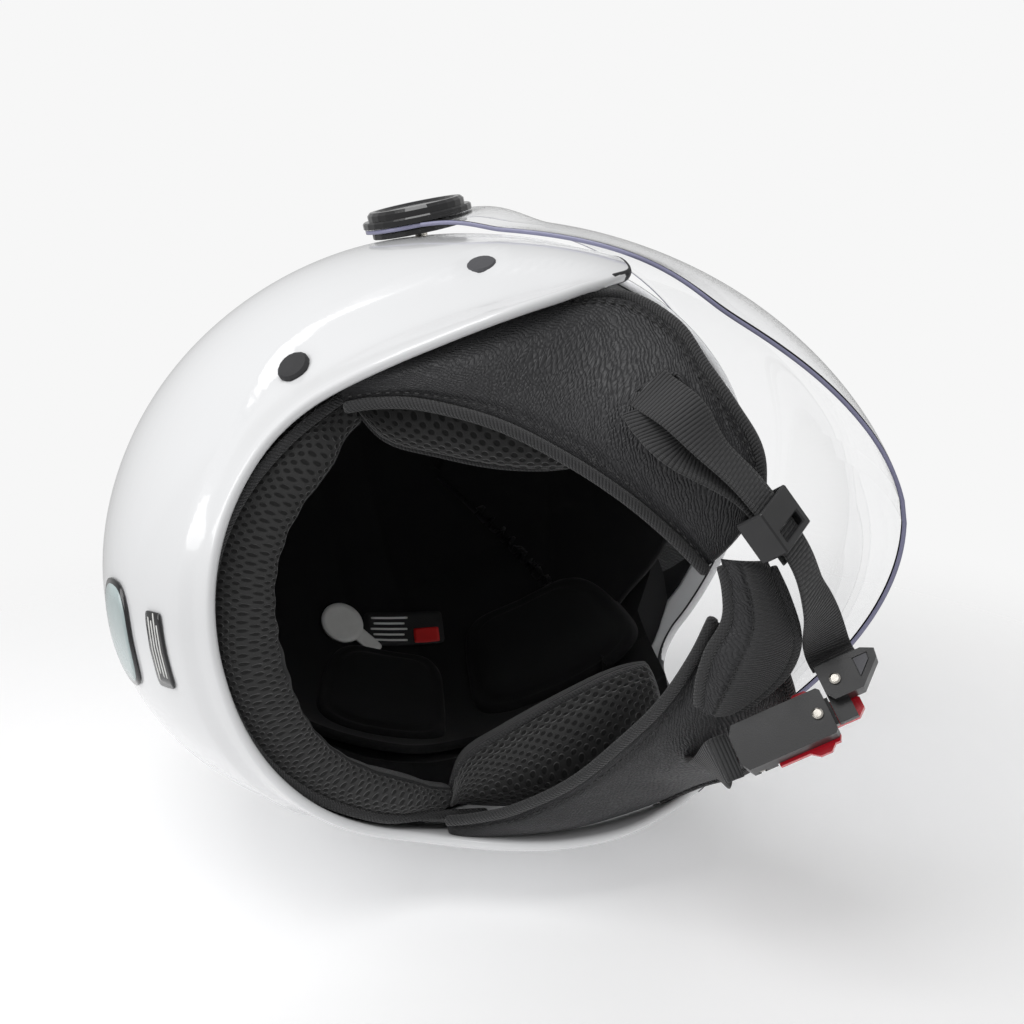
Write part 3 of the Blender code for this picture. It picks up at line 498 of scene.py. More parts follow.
def scaled(tree, vector, scale, turn=0.0, shift=(0.0, 0.0, 0.0)):
    made = node(tree, "ShaderNodeMapping", Vector=vector, Location=shift, Rotation=(0, 0, turn),
        Scale=scale)
    return made.outputs[0]


def spacer_mesh_group():
    """Staggered round holes between raised threads, as on spacer mesh."""
    tree, given, out = group(
        "Spacer Mesh",
        [("Vector", "NodeSocketVector", None), ("Pitch", "NodeSocketFloat", 0.0024),
            ("Hole", "NodeSocketFloat", 0.3)],
        ["Hole", "Height", "Thread"],
    )
    step = calc(tree, "DIVIDE", 1.0, given.outputs["Pitch"])
    wobble = node(tree, "ShaderNodeTexNoise", {"noise_dimensions": "3D"}, Vector=given.outputs["Vector"],
        Scale=90.0)
    push = node(tree, "ShaderNodeVectorMath", {"operation": "SCALE"}, i0=wobble.outputs["Color"],
        Scale=0.0007)
    moved = node(tree, "ShaderNodeVectorMath", {"operation": "ADD"}, i0=given.outputs["Vector"],
        i1=push.outputs[0])
    grid = node(tree, "ShaderNodeVectorMath", {"operation": "SCALE"}, i0=moved.outputs[0],
        Scale=step).outputs[0]
    near = []
    for shift in (0.0, 0.5):
        place = scaled(tree, grid, (1.0, 0.85, 1.0), shift=(shift, shift, 0.0))
        cell = node(
            tree, "ShaderNodeTexVoronoi", {"voronoi_dimensions": "2D"},
            Vector=place, Scale=1.0, Randomness=0.0
        )
        near.append(cell.outputs["Distance"])
    distance = calc(tree, "MINIMUM", near[0], near[1])
    soft = calc(tree, "ADD", given.outputs["Hole"], 0.12)
    hole = node(
        tree,
        "ShaderNodeMapRange",
        {"interpolation_type": "SMOOTHSTEP"},
        Value=distance,
        From_Min=given.outputs["Hole"],
        From_Max=soft,
        To_Min=1.0,
        To_Max=0.0,
    ).outputs[0]
    threads = noise(tree, given.outputs["Vector"], 2600.0, 2.0)
    rise = calc(tree, "SUBTRACT", 1.0, hole)
    height = calc(tree, "MULTIPLY_ADD", threads, 0.25, rise)
    tree.links.new(hole, out.inputs["Hole"])
    tree.links.new(height, out.inputs["Height"])
    tree.links.new(threads, out.inputs["Thread"])
    return tree


def leather_grain_group():
    """Fine pebbles crossed by slanted wavy wrinkles, as on imitation leather."""
    tree, given, out = group(
        "Leather Grain",
        [("Vector", "NodeSocketVector", None), ("Size", "NodeSocketFloat", 0.0011),
            ("Slant", "NodeSocketFloat", 0.6)],
        ["Height", "Tone"],
    )
    step = calc(tree, "DIVIDE", 1.0, given.outputs["Size"])
    grid = node(
        tree, "ShaderNodeVectorMath", {"operation": "SCALE"}, i0=given.outputs["Vector"], Scale=step
    ).outputs[0]
    pebble = node(
        tree,
        "ShaderNodeTexVoronoi",
        {"voronoi_dimensions": "3D", "feature": "DISTANCE_TO_EDGE"},
        Vector=scaled(tree, grid, (1.0, 0.55, 1.0), 0.7),
        Scale=1.0,
    ).outputs["Distance"]
    pebbles = ramp(tree, pebble, 0.0, 0.22, 0.0, 0.5)
    drift = noise(tree, given.outputs["Vector"], 210.0, 2.0)
    parts = node(tree, "ShaderNodeSeparateXYZ", Vector=grid)
    slope = calc(tree, "MULTIPLY_ADD", parts.outputs[0], -0.52,
        calc(tree, "MULTIPLY", parts.outputs[1], 0.85))
    turn = calc(tree, "MULTIPLY", calc(tree, "MULTIPLY_ADD", drift, 3.2, slope), math.pi)
    wrinkle = calc(tree, "POWER", calc(tree, "ABSOLUTE", calc(tree, "SINE", turn)), 0.7)
    creases = calc(tree, "MULTIPLY", wrinkle, given.outputs["Slant"])
    tone = noise(tree, given.outputs["Vector"], 45.0, 3.0)
    tree.links.new(calc(tree, "ADD", pebbles, creases), out.inputs["Height"])
    tree.links.new(tone, out.inputs["Tone"])
    return tree


def rib_weave_group():
    """Ribs across a band with fine threads over them, as on webbing and knit binding, with a mask for the
    painted shade between the ribs.
    """
    tree, given, out = group(
        "Rib Weave",
        [
            ("Vector", "NodeSocketVector", None),
            ("Rib", "NodeSocketFloat", 0.0011),
            ("Thread", "NodeSocketFloat", 0.0005),
            ("Lean", "NodeSocketFloat", 0.0),
        ],
        ["Height", "Gap Shade"],
    )
    parts = node(tree, "ShaderNodeSeparateXYZ", Vector=given.outputs["Vector"])
    lean = calc(tree, "MULTIPLY", parts.outputs[1], given.outputs["Lean"])
    along = calc(tree, "ADD", parts.outputs[0], lean)
    rib_turn = calc(tree, "DIVIDE", along, given.outputs["Rib"])
    thread_turn = calc(tree, "DIVIDE", parts.outputs[1], given.outputs["Thread"])
    rib_wave = calc(tree, "ABSOLUTE", calc(tree, "SINE", calc(tree, "MULTIPLY", rib_turn, math.pi)))
    half = calc(tree, "MULTIPLY", calc(tree, "FLOOR", rib_turn), 0.5)
    thread_wave = calc(
        tree, "ABSOLUTE", calc(tree, "SINE",
            calc(tree, "MULTIPLY", calc(tree, "ADD", thread_turn, half), math.pi))
    )
    height = calc(tree, "MULTIPLY", calc(tree, "POWER", rib_wave, 0.6),
        calc(tree, "MULTIPLY_ADD", thread_wave, 0.35, 0.65))
    tree.links.new(height, out.inputs["Height"])
    # painted shade mask: 1 in the grooves between the ribs, where shade falls, and 0 on the ribs
    tree.links.new(ramp(tree, rib_wave, 0.0, 0.45, 1.0, 0.0), out.inputs["Gap Shade"])
    return tree


def soft_wear_group():
    """Fine scuffs and a slow change of sheen, for moulded and painted surfaces."""
    tree, given, out = group(
        "Soft Wear",
        [("Vector", "NodeSocketVector", None), ("Scale", "NodeSocketFloat", 30.0),
            ("Amount", "NodeSocketFloat", 0.5)],
        ["Scuff", "Cloud"],
    )
    cloud = noise(tree, given.outputs["Vector"], given.outputs["Scale"], 4.0)
    fine = calc(tree, "MULTIPLY", given.outputs["Scale"], 22.0)
    scratch = noise(tree, scaled(tree, given.outputs["Vector"], (1.0, 6.0, 1.0), 0.5), fine, 2.0)
    scuff = calc(tree, "MULTIPLY", ramp(tree, scratch, 0.62, 0.78), given.outputs["Amount"])
    tree.links.new(scuff, out.inputs["Scuff"])
    tree.links.new(cloud, out.inputs["Cloud"])
    return tree


GROUPS = {
    "Spacer Mesh": spacer_mesh_group,
    "Leather Grain": leather_grain_group,
    "Rib Weave": rib_weave_group,
    "Soft Wear": soft_wear_group,
}


def effect(tree, name, vector, **values):
    """Places one of the shared effects in a material."""
    if name not in bpy.data.node_groups:
        GROUPS[name]()
    made = tree.nodes.new("ShaderNodeGroup")
    made.node_tree = bpy.data.node_groups[name]
    tree.links.new(vector, made.inputs["Vector"])
    for key, value in values.items():
        made.inputs[key].default_value = value
    return made.outputs


def coords(tree, kind="Object"):
    if kind == "UV":
        return node(tree, "ShaderNodeUVMap", {"uv_map": "UVMap"}).outputs[0]
    return node(tree, "ShaderNodeTexCoord").outputs[kind]


def blank(name, **values):
    """A new material, its tree and its shader, with plain values set on the shader."""
    made = bpy.data.materials.new(name)
    made.use_nodes = True
    shader = made.node_tree.nodes["Principled BSDF"]
    for key, value in values.items():
        shader.inputs[key.replace("_", " ")].default_value = value
    return made, made.node_tree, shader


def tint(colour, factor):
    return (colour[0] * factor, colour[1] * factor, colour[2] * factor, 1.0)


def blended(tree, factor, low, high):
    made = node(tree, "ShaderNodeMix", {"data_type": "RGBA"})
    tree.links.new(factor, made.inputs[0])
    made.inputs[6].default_value = low
    made.inputs[7].default_value = high
    return made.outputs[2]


def shade(tree, shader, mask, low, high):
    """Colours a finish between two tones by a mask."""
    tree.links.new(blended(tree, mask, low, high), shader.inputs["Base Color"])


def roughen(tree, shader, mask, low, high, smoothest, roughest):
    """Varies a finish's roughness with a mask."""
    tree.links.new(ramp(tree, mask, low, high, smoothest, roughest), shader.inputs["Roughness"])


def bump(tree, shader, height, depth, strength=1.0):
    made = node(tree, "ShaderNodeBump", Strength=strength, Distance=depth, Height=height)
    tree.links.new(made.outputs[0], shader.inputs["Normal"])


def once(maker):
    """Builds a finish the first time it is asked for."""

    def ask(*given):
        name = maker.__name__.replace("_", " ").title()
        key = name if not given else name + " " + " ".join(str(g) for g in given)
        return bpy.data.materials.get(key) or maker(key, *given)

    return ask


def colours():
    return bpy.context.scene.helmet_colours


@once
def shell_lacquer(name):
    made, tree, shader = blank(name, Coat_Weight=0.7, Coat_Roughness=0.04, Roughness=0.22, IOR=1.5)
    wear = effect(tree, "Soft Wear", coords(tree), Scale=26.0, Amount=0.5)
    base = tuple(colours().shell)
    shade(tree, shader, wear["Cloud"], tint(base, 0.985), tint(base, 1.0))
    roughen(tree, shader, wear["Cloud"], 0.2, 0.8, 0.17, 0.26)
    ripple = noise(tree, coords(tree), 420.0, 2.0)
    bump(tree, shader, ripple, 0.00002)
    return made


@once
def leatherette(name):
    made, tree, shader = blank(name, Roughness=0.5, IOR=1.45)
    shader.inputs["Specular IOR Level"].default_value = 0.42
    grain = effect(tree, "Leather Grain", coords(tree, "UV"), Size=0.00122, Slant=1.0)
    base = tuple(colours().leatherette)
    shade(tree, shader, grain["Tone"], tint(base, 0.82), tint(base, 1.2))
    roughen(tree, shader, grain["Tone"], 0.3, 0.7, 0.38, 0.50)
    bump(tree, shader, grain["Height"], 0.00028)
    return made


@once
def spacer_mesh(name):
    made, tree, shader = blank(name, Roughness=0.85)
    shader.inputs["Sheen Weight"].default_value = 0.25
    shader.inputs["Sheen Roughness"].default_value = 0.4
    cells = effect(tree, "Spacer Mesh", coords(tree, "UV"), Pitch=0.0040, Hole=0.17)
    base = tuple(colours().mesh)
    # painted shade: the holes are coloured nearly black for the shade inside them, and the threads between
    # them a little lighter
    shade(tree, shader, cells["Hole"], tint(base, 1.25), tint(base, 0.02))
    bump(tree, shader, cells["Height"], 0.0006)
    return made


@once
def brushed_lining(name):
    made, tree, shader = blank(name, Roughness=0.95)
    shader.inputs["Sheen Weight"].default_value = 0.06
    shader.inputs["Sheen Roughness"].default_value = 0.5
    shader.inputs["Specular IOR Level"].default_value = 0.2
    fuzz = noise(tree, coords(tree), 1500.0, 3.0)
    slow = noise(tree, coords(tree), 35.0, 3.0)
    base = tuple(colours().lining)
    shade(tree, shader, slow, tint(base, 0.75), tint(base, 1.25))
    bump(tree, shader, fuzz, 0.0003, 0.7)
    return made


@once
def ribbed_knit(name, rib=0.0011, thread=0.0006, lean=0.0):
    made, tree, shader = blank(name, Roughness=0.75)
    shader.inputs["Sheen Weight"].default_value = 0.2
    shader.inputs["Sheen Roughness"].default_value = 0.45
    weave = effect(tree, "Rib Weave", coords(tree, "UV"), Rib=rib, Thread=thread, Lean=lean)
    base = tuple(colours().webbing)
    # painted shade: the grooves between the ribs are coloured far darker than the webbing, and the ribs
    # lighter
    shade(tree, shader, weave["Gap Shade"], tint(base, 1.5), tint(base, 0.08))
    bump(tree, shader, weave["Height"], 0.0005)
    return made


def cord_knit():
    """The slanted knit that binds every edge cord."""
    return ribbed_knit(0.0013, 0.0008, 0.6)


@once
def thread_black(name):
    made, tree, shader = blank(name, Roughness=0.6)
    twist = node(tree, "ShaderNodeTexWave", {"bands_direction": "DIAGONAL"}, Vector=coords(tree),
        Scale=900.0).outputs[0]
    base = tuple(colours().thread)
    # painted shade and highlight: the thread is coloured darker in the grooves of its twist and lighter on
    # its crests
    shade(tree, shader, twist, tint(base, 0.7), tint(base, 1.2))
    bump(tree, shader, twist, 0.0001)
    return made


@once
def moulded_black(name, roughness=0.32, value=0.018):
    made, tree, shader = blank(name, Roughness=roughness, IOR=1.5)
    wear = effect(tree, "Soft Wear", coords(tree), Scale=120.0, Amount=0.6)
    base = (value, value, value * 1.06)
    shade(tree, shader, wear["Scuff"], tint(base, 1.0), tint(base, 2.4))
    roughen(tree, shader, wear["Cloud"], 0.2, 0.8, roughness * 0.8, roughness * 1.3)
    pits = noise(tree, coords(tree), 2200.0, 2.0)
    bump(tree, shader, pits, 0.00003)
    return made


@once
def gloss_black(name):
    made, tree, shader = blank(name, Roughness=0.08, Coat_Weight=0.4, Coat_Roughness=0.03)
    wear = effect(tree, "Soft Wear", coords(tree), Scale=60.0, Amount=0.4)
    shade(tree, shader, wear["Scuff"], (0.008, 0.008, 0.009, 1), (0.03, 0.03, 0.03, 1))
    roughen(tree, shader, wear["Cloud"], 0.2, 0.8, 0.06, 0.14)
    return made


@once
def soft_rubber(name, value=0.02):
    made, tree, shader = blank(name, Roughness=0.62)
    wear = effect(tree, "Soft Wear", coords(tree), Scale=90.0, Amount=0.8)
    shade(tree, shader, wear["Scuff"], (value, value, value * 1.1, 1), (value * 3, value * 3, value * 3, 1))
    roughen(tree, shader, wear["Cloud"], 0.2, 0.8, 0.5, 0.72)
    pits = noise(tree, coords(tree), 1800.0, 2.0)
    bump(tree, shader, pits, 0.00006)
    return made


@once
def plated_steel(name):
    made, tree, shader = blank(name, Metallic=1.0, Roughness=0.28)
    wear = effect(tree, "Soft Wear", coords(tree), Scale=200.0, Amount=0.7)
    shade(tree, shader, wear["Cloud"], (0.5, 0.47, 0.42, 1), (0.74, 0.71, 0.66, 1))
    roughen(tree, shader, wear["Cloud"], 0.2, 0.8, 0.18, 0.38)
    bump(tree, shader, wear["Scuff"], 0.00002)
    return made


@once
def lever_red(name):
    made, tree, shader = blank(name, Roughness=0.25, Coat_Weight=0.3)
    wear = effect(tree, "Soft Wear", coords(tree), Scale=110.0, Amount=0.5)
    base = tuple(colours().lever)
    shade(tree, shader, wear["Cloud"], tint(base, 0.9), tint(base, 1.08))
    roughen(tree, shader, wear["Cloud"], 0.2, 0.8, 0.2, 0.32)
    bump(tree, shader, wear["Scuff"], 0.00003)
    return made


def see_through(made, tree, shader, shadow):
    """Lets most light pass in shadows, so a clear wall doesn't darken what is behind it."""
    out = tree.nodes["Material Output"]
    clear = node(tree, "ShaderNodeBsdfTransparent", Color=shadow)
    path = tree.nodes.new("ShaderNodeLightPath")
    mix = tree.nodes.new("ShaderNodeMixShader")
    tree.links.new(path.outputs["Is Shadow Ray"], mix.inputs[0])
    tree.links.new(shader.outputs[0], mix.inputs[1])
    tree.links.new(clear.outputs[0], mix.inputs[2])
    tree.links.new(mix.outputs[0], out.inputs["Surface"])
    return made


@once
def visor_clear(name):
    made, tree, shader = blank(name, Transmission_Weight=1.0, IOR=1.3, Base_Color=(0.985, 0.988, 0.992, 1))
    wear = effect(tree, "Soft Wear", coords(tree), Scale=14.0, Amount=0.2)
    roughen(tree, shader, wear["Cloud"], 0.3, 0.7, 0.0, 0.012)
    return see_through(made, tree, shader, (0.95, 0.95, 0.96, 1))


@once
def visor_edge(name):
    made, tree, shader = blank(name, Roughness=0.12, IOR=1.45)
    wear = effect(tree, "Soft Wear", coords(tree), Scale=80.0, Amount=0.4)
    base = tuple(colours().visor_edge)
    shade(tree, shader, wear["Cloud"], tint(base, 0.8), tint(base, 1.2))
    roughen(tree, shader, wear["Cloud"], 0.2, 0.8, 0.08, 0.18)
    return made


# ---- settings ----


def length(label, text, default, low=0.0, high=1.0):
    return bpy.props.FloatProperty(
        name=label, description=text, default=default, min=low, max=high,
        precision=5, unit="LENGTH", subtype="DISTANCE"
    )


def paint(label, text, default):
    return bpy.props.FloatVectorProperty(
        name=label, description=text, default=default, size=3, min=0.0, max=1.0, subtype="COLOR"
    )


class HelmetSizes(bpy.types.PropertyGroup):
    """Sizes of the detail that the solids leave out."""

    crease_depth: length("Crease depth", "How far the lower lip of the shell is set in", 0.0015, 0.0, 0.004)
    plug_recess: length("Plug recess", "Depth of the dish round each rear plug", 0.0011, 0.0, 0.003)
    edge_rubber: length("Edge rubber", "Radius of the rubber round the face opening", 0.0012, 0.0, 0.005)
    stitch_pitch: length("Stitch pitch", "Distance from one stitch to the next", 0.0032, 0.001, 0.01)
    piping: length("Piping radius", "Radius of the flaps' piping", 0.0021, 0.0, 0.005)
    seam_groove: length("Seam groove", "Depth of the sewn seams", 0.0011, 0.0, 0.004)


class HelmetColours(bpy.types.PropertyGroup):
    """Colours of the finishes."""

    shell: paint("Shell", "Lacquered shell", (0.80, 0.805, 0.815))
    leatherette: paint("Leatherette", "Ear flaps and chin pad", (0.034, 0.034, 0.036))
    mesh: paint("Spacer mesh", "Neck roll and cheek pads", (0.022, 0.022, 0.022))
    lining: paint("Lining", "Brushed lining of the crown", (0.0055, 0.0055, 0.006))
    webbing: paint("Webbing", "Chin strap and bindings", (0.02, 0.02, 0.021))
    thread: paint("Thread", "Stitching", (0.03, 0.03, 0.03))
    lever: paint("Lever", "Release lever of the buckle", (0.72, 0.004, 0.022))
    visor_edge: paint("Visor edge", "Cut edge of the visor", (0.27, 0.27, 0.40))
    badge: paint("Badge", "Foil badge at the back", (0.42, 0.50, 0.50))


# ---- shell ----


class HELMET_OT_shell(bpy.types.Operator):
    """Build the lacquered shell with its rolled rim, its crease and the dishes round the plugs"""

    bl_idname = "helmet.shell"
    bl_label = "Shell"

    def execute(self, context):
        sizes = context.scene.helmet_sizes
        edge = trim_line(shell_outline(), 288)
        to_edge = aim(edge)
        top = np.array([0.0, 0.05, 1.0]) / np.linalg.norm([0.0, 0.05, 1.0])
        outer_rows, rim_rows, inner_rows = 84, 8, 30
        rows = outer_rows + rim_rows + inner_rows
        crease = spline(CREASE, 6)
        dishes = []
        for side in (-1, 1):
            for (y, z), radius in ((REAR_PLUG, 0.0062), (SIDE_PLUG, 0.0056)):
                dishes.append((np.array([side * float(side_x(y, z)), y, z]), radius))

        def directions(share, column):
            aimed = sampled(to_edge, column)
            angle = np.arccos(np.clip(aimed @ top, -1, 1))
            first = (np.sin((1 - share) * angle) / np.sin(angle))[:, None]
            return unit(top * first + aimed * (np.sin(share * angle) / np.sin(angle))[:, None])

        def outer_points(share, column):
            points = cast(directions(share, column), 0.0)
            normal = surface_normal(points)
            below = np.interp(points[:, 1], crease[:, 0], crease[:, 1]) - points[:, 2]
            fade = smooth((points[:, 1] + 0.066) / 0.03)
            drop = sizes.crease_depth * smooth(below / 0.0035 + 0.5) * (1 - 0.75
                * smooth((below - 0.004) / 0.030)) * fade
            for centre, radius in dishes:
                away = np.linalg.norm(points - centre, axis=1)
                drop = drop + sizes.plug_recess * (1 - smooth((away - radius - 0.0006) / 0.0026))
            return points - normal * drop[:, None], normal

        def place(u, v):
            row = np.round(v * rows).astype(int)
            points = np.zeros((len(u), 3))
            out = row <= outer_rows
            share = np.where(row <= outer_rows, row / outer_rows, 1.0) ** 0.92
            spread, normal = outer_points(np.where(out, share, 1.0), u)
            points[:] = spread
            before, _ = outer_points(np.full(len(u), 0.985), u)
            beyond = unit(spread - before)
            beyond = unit(beyond - normal * (beyond * normal).sum(-1, keepdims=True))
            centre = spread - normal * (WALL / 2)
            turn = np.clip((row - outer_rows) / rim_rows, 0, 1) * np.pi
            rim = centre + (normal * np.cos(turn)[:, None] + beyond * np.sin(turn)[:, None]) * (WALL / 2)
            ring = (row > outer_rows) & (row <= outer_rows + rim_rows)
            points[ring] = rim[ring]
            back = np.clip(1 - (row - outer_rows - rim_rows) / inner_rows, 0, 1)
            inside = row > outer_rows + rim_rows
            if inside.any():
                wall = cast(directions(back[inside], u[inside]), WALL)
                start = centre[inside] - normal[inside] * (WALL / 2)
                near = smooth((back[inside] - 0.9) / 0.1)[:, None]
                points[inside] = wall * (1 - near) + start * near
            return points

        bm = sheet_bm(288, rows, place, (0.9, 0.4))
        close_sheet(bm)
        shell = place_mesh("shell", bm, [shell_lacquer()])
        settle(shell, ["outer_shell"])
        self.edge_rubber(edge, sizes.edge_rubber)
        cad_material(soft_rubber(), "rear_plug_left", "rear_plug_right")
        cad_material(soft_rubber(0.07), "side_plug_left", "side_plug_right")
        return {"FINISHED"}

    def edge_rubber(self, edge, radius):
        """A rubber bead along the face opening, from one temple over the brow to the other."""
        front = edge[edge[:, 1] < -0.0585]
        normal = surface_normal(front)
        line = front - normal * (WALL / 2)
        profile = oval_profile(radius, WALL / 2 + 0.0003)
        bead = sweep("face_edge_rubber", line, normal, profile, [soft_rubber()], 160, 10)
        settle(bead, ())


# ---- inside ----


class HELMET_OT_lining(bpy.types.Operator):
    """Build the sewn crown lining, its foam pads, ribbed strips and brow band"""

    bl_idname = "helmet.lining"
    bl_label = "Lining"

    def execute(self, context):
        sizes = context.scene.helmet_sizes
        seams = []
        for side in (-1, 1):
            seams.append(flip_x(spline([(0.017, -0.078, 0.072), (0.030, -0.040, 0.088),
                (0.045, 0.02, 0.082), (0.050, 0.075, 0.058)]), side))
            seams.append(flip_x(spline([(0.017, -0.038, 0.092), (0.045, -0.030, 0.080),
                (0.075, -0.020, 0.048)]), side))
        seams.append(spline([(-0.075, 0.060, 0.045), (-0.040, 0.070, 0.070), (0.0, 0.072, 0.086),
            (0.040, 0.070, 0.070), (0.075, 0.060, 0.045)]))
        seams.append(spline([(-0.078, 0.040, 0.045), (-0.040, 0.048, 0.085), (0.0, 0.050, 0.097),
            (0.040, 0.048, 0.085), (0.078, 0.040, 0.045)]))
        seam_points = np.vstack([cast(aim(evenly(s, 110)), LINING_INSET) for s in seams])
        low = [(0.145, -0.058), (0.110, -0.058), (0.075, -0.058), (0.050, -0.034), (0.030, -0.022),
            (0.0, -0.020), (-0.040, -0.020), (-0.061, -0.020)]
        low += [(-0.061, 0.020), (-0.064, 0.038), (-0.079, 0.054), (-0.110, 0.0545), (-0.150, 0.0548),
            (-0.165, 0.0548)]
        edge = trim_line(low, 160)
        to_edge = aim(edge)
        top = np.array([0.0, 0.05, 1.0]) / np.linalg.norm([0.0, 0.05, 1.0])

        def place(u, v):
            aimed = sampled(to_edge, u)
            angle = np.arccos(np.clip(aimed @ top, -1, 1))
            share = np.clip(v * 1.02, 0, 1)
            d = unit(top * (np.sin((1 - share) * angle) / np.sin(angle))[:,
                None] + aimed * (np.sin(share * angle) / np.sin(angle))[:, None])
            points = cast(d, LINING_INSET)
            near = np.full(len(points), 1.0)
            for start in range(0, len(points), 2000):
                gap = points[start : start + 2000, None, :] - seam_points[None, :, :]
                near[start : start + 2000] = np.sqrt((gap**2).sum(-1)).min(1)
            groove = sizes.seam_groove * np.exp(-((near / 0.0024) ** 2)) - 0.0012 * smooth(near / 0.02)
            return points + d * groove[:, None]

        bm = sheet_bm(240, 120, place, (0.8, 0.3))
        bmesh.ops.remove_doubles(bm, verts=bm.verts, dist=1e-5)
        bmesh.ops.recalc_face_normals(bm, faces=bm.faces)
        probe = next(iter(bm.faces))
        if probe.normal.dot(probe.calc_center_median()) > 0:
            bmesh.ops.reverse_faces(bm, faces=bm.faces)
        lining = place_mesh("crown_cloth", bm, [brushed_lining()])
        thick = lining.modifiers.new("thickness", "SOLIDIFY")
        thick.thickness = 0.0035
        settle(lining, ["crown_lining"])
        cad_material(brushed_lining(), "eps_liner")
        for side, word in ((-1, "right"), (1, "left")):
            self.foam_pad(f"front_foam_{word}", f"front_foam_pad_{word}", side, 0.002, 0.068, 50, 93)
            self.foam_pad(f"rear_foam_{word}", f"rear_foam_pad_{word}", side, -0.016, 0.052, 100, 134)
            self.rib_strip(side, word)
        self.brow_band()
        return {"FINISHED"}

    def foam_pad(self, name, solid, side, z_low, z_high, turn_low, turn_high):
        """A cushion with rounded corners and a sewn edge, lying on the lining."""
        def patch(a, b, inset):
            turn = np.radians(turn_low + (turn_high - turn_low) * (a * 0.5 + 0.5))
            z = z_low + (z_high - z_low) * (b * 0.5 + 0.5)
            return shell_at(z, turn, inset)

        def place(u, v):
            angle = 2 * np.pi * u
            radius = np.minimum(v * 2, 2 - 2 * v)
            a = radius * power(np.cos(angle), 0.45)
            b = radius * power(np.sin(angle), 0.45)
            lift = 0.0072 * (1 - radius**3.2) ** 0.6 + 0.0004
            lift = lift - 0.0012 * np.exp(-(((radius - 0.84) / 0.035) ** 2))
            lift = np.where(v > 0.5, 0.0002, lift)
            return flip_x(patch(a, b, 0.0341 + lift), side)

        pad = closed_sheet(name, 64, 48, place, [brushed_lining()], (0.2, 0.08))
        settle(pad, [solid])

    def rib_strip(self, side, word):
        """Ribbed mesh between the pads and along the cheek."""
        line = np.array([[side * side_x(y, z, 0.0337), y, z] for y,
            z in ((0.030, -0.006), (0.010, -0.008), (-0.015, -0.008), (-0.040, -0.007))])
        line = spline(line, 6)
        normal = -surface_normal(line, 0.034)
        strip = sweep(f"ribbed_strip_{word}", line, normal, band_profile(0.016, 0.0022),
            [ribbed_knit(0.0026, 0.0013)], 60, 16)
        settle(strip, ())

    def brow_band(self):
        """A soft band that closes the gap between shell and lining along the brow."""
        turns = np.radians(np.linspace(-64, 64, 61))
        line = shell_at(np.full(61, 0.0565), turns, 0.0185)
        normal = np.tile([0.0, -0.35, -1.0], (61, 1))
        band = sweep("brow_band", line, normal, band_profile(0.0275, 0.0065),
            [ribbed_knit(0.0013, 0.0007)], 96, 24)
        settle(band, ())


def facing(piece, girth, low, high):
    """Leaves the first finish between two shares of a piece's girth, and gives the rest the second."""
    uv = piece.data.uv_layers["UVMap"].data
    for face in piece.data.polygons:
        share = sum(uv[k].uv.x for k in face.loop_indices) / len(face.loop_indices) / girth
        face.material_index = 0 if low < share < high else 1


def roll_ring(turn, angle, proud=0.0):
    """A point on the neck roll: turn from ear to ear in degrees, angle round its section."""
    end = np.abs(turn - 180) / 60
    fat = 1 - 0.35 * smooth((end - 0.8) / 0.2)
    low = -0.1005 + 0.017 * end**1.6
    z = low + 0.0135 * (1 + fat * power(np.sin(angle), 0.7))
    inset = WALL + 0.0012 + 0.0079 * (1 + fat * power(np.cos(angle), 0.7)) + proud
    base = shell_at(np.maximum(z, -0.098), np.radians(turn), inset)
    return np.stack([base[..., 0], base[..., 1], z], axis=-1)


class HELMET_OT_neck_roll(bpy.types.Operator):
    """Build the neck roll in spacer mesh with its knit facing and sewn joints"""

    bl_idname = "helmet.neck_roll"
    bl_label = "Neck roll"

    def execute(self, context):
        sizes = context.scene.helmet_sizes

        def place(u, v):
            turn = 118 + 124 * v
            angle = 2 * np.pi * u
            ends = np.clip(np.minimum(v, 1 - v) / 0.02, 0, 1)
            closing = np.sqrt(np.clip(1 - (1 - ends) ** 2, 0, 1))
            middle = roll_ring(turn, np.zeros_like(angle), 0) * 0
            for k in range(8):
                middle = middle + roll_ring(turn, np.full_like(angle, k * np.pi / 4)) / 8
            ring = roll_ring(turn, angle)
            swell = 1 + 0.012 * np.sin(turn * 0.9) + 0.02 * np.sin(angle * 2 + turn * 0.05)
            seam = np.exp(-(((angle / np.pi - 0.42) / 0.02) ** 2)) + np.exp(-(((angle / np.pi - 1.72)
                / 0.02) ** 2))
            scale = (swell - 0.12 * seam * sizes.seam_groove / 0.0011) * closing
            return middle + (ring - middle) * scale[:, None]

        girth = 0.078
        roll = closed_sheet("neck_roll_mesh", 96, 220, place, [spacer_mesh(), ribbed_knit(0.0011, 0.0006)],
            (girth, 0.31))
        facing(roll, girth, 0.42, 0.86)
        settle(roll, ["neck_roll"])
        turns = np.radians(np.linspace(112, 248, 120))
        lip = roll_ring(np.degrees(turns), np.full(120, 1.30 * np.pi), -0.0012)
        lip[:, 2] -= 0.0008
        down = np.tile([0.0, 0.0, -1.0], (120, 1))
        cord = sweep("rim_piping", lip, down, round_profile(0.0019), [cord_knit()],
            240, 12)
        settle(cord, ())
        return {"FINISHED"}


CHEEK_INNER = (
    (0.082, 0.036, -0.083),
    (0.066, 0.027, -0.087),
    (0.057, 0.010, -0.0905),
    (0.049, -0.009, -0.0935),
    (0.044, -0.028, -0.0930),
    (0.043, -0.042, -0.0880),
    (0.045, -0.054, -0.0800),
)


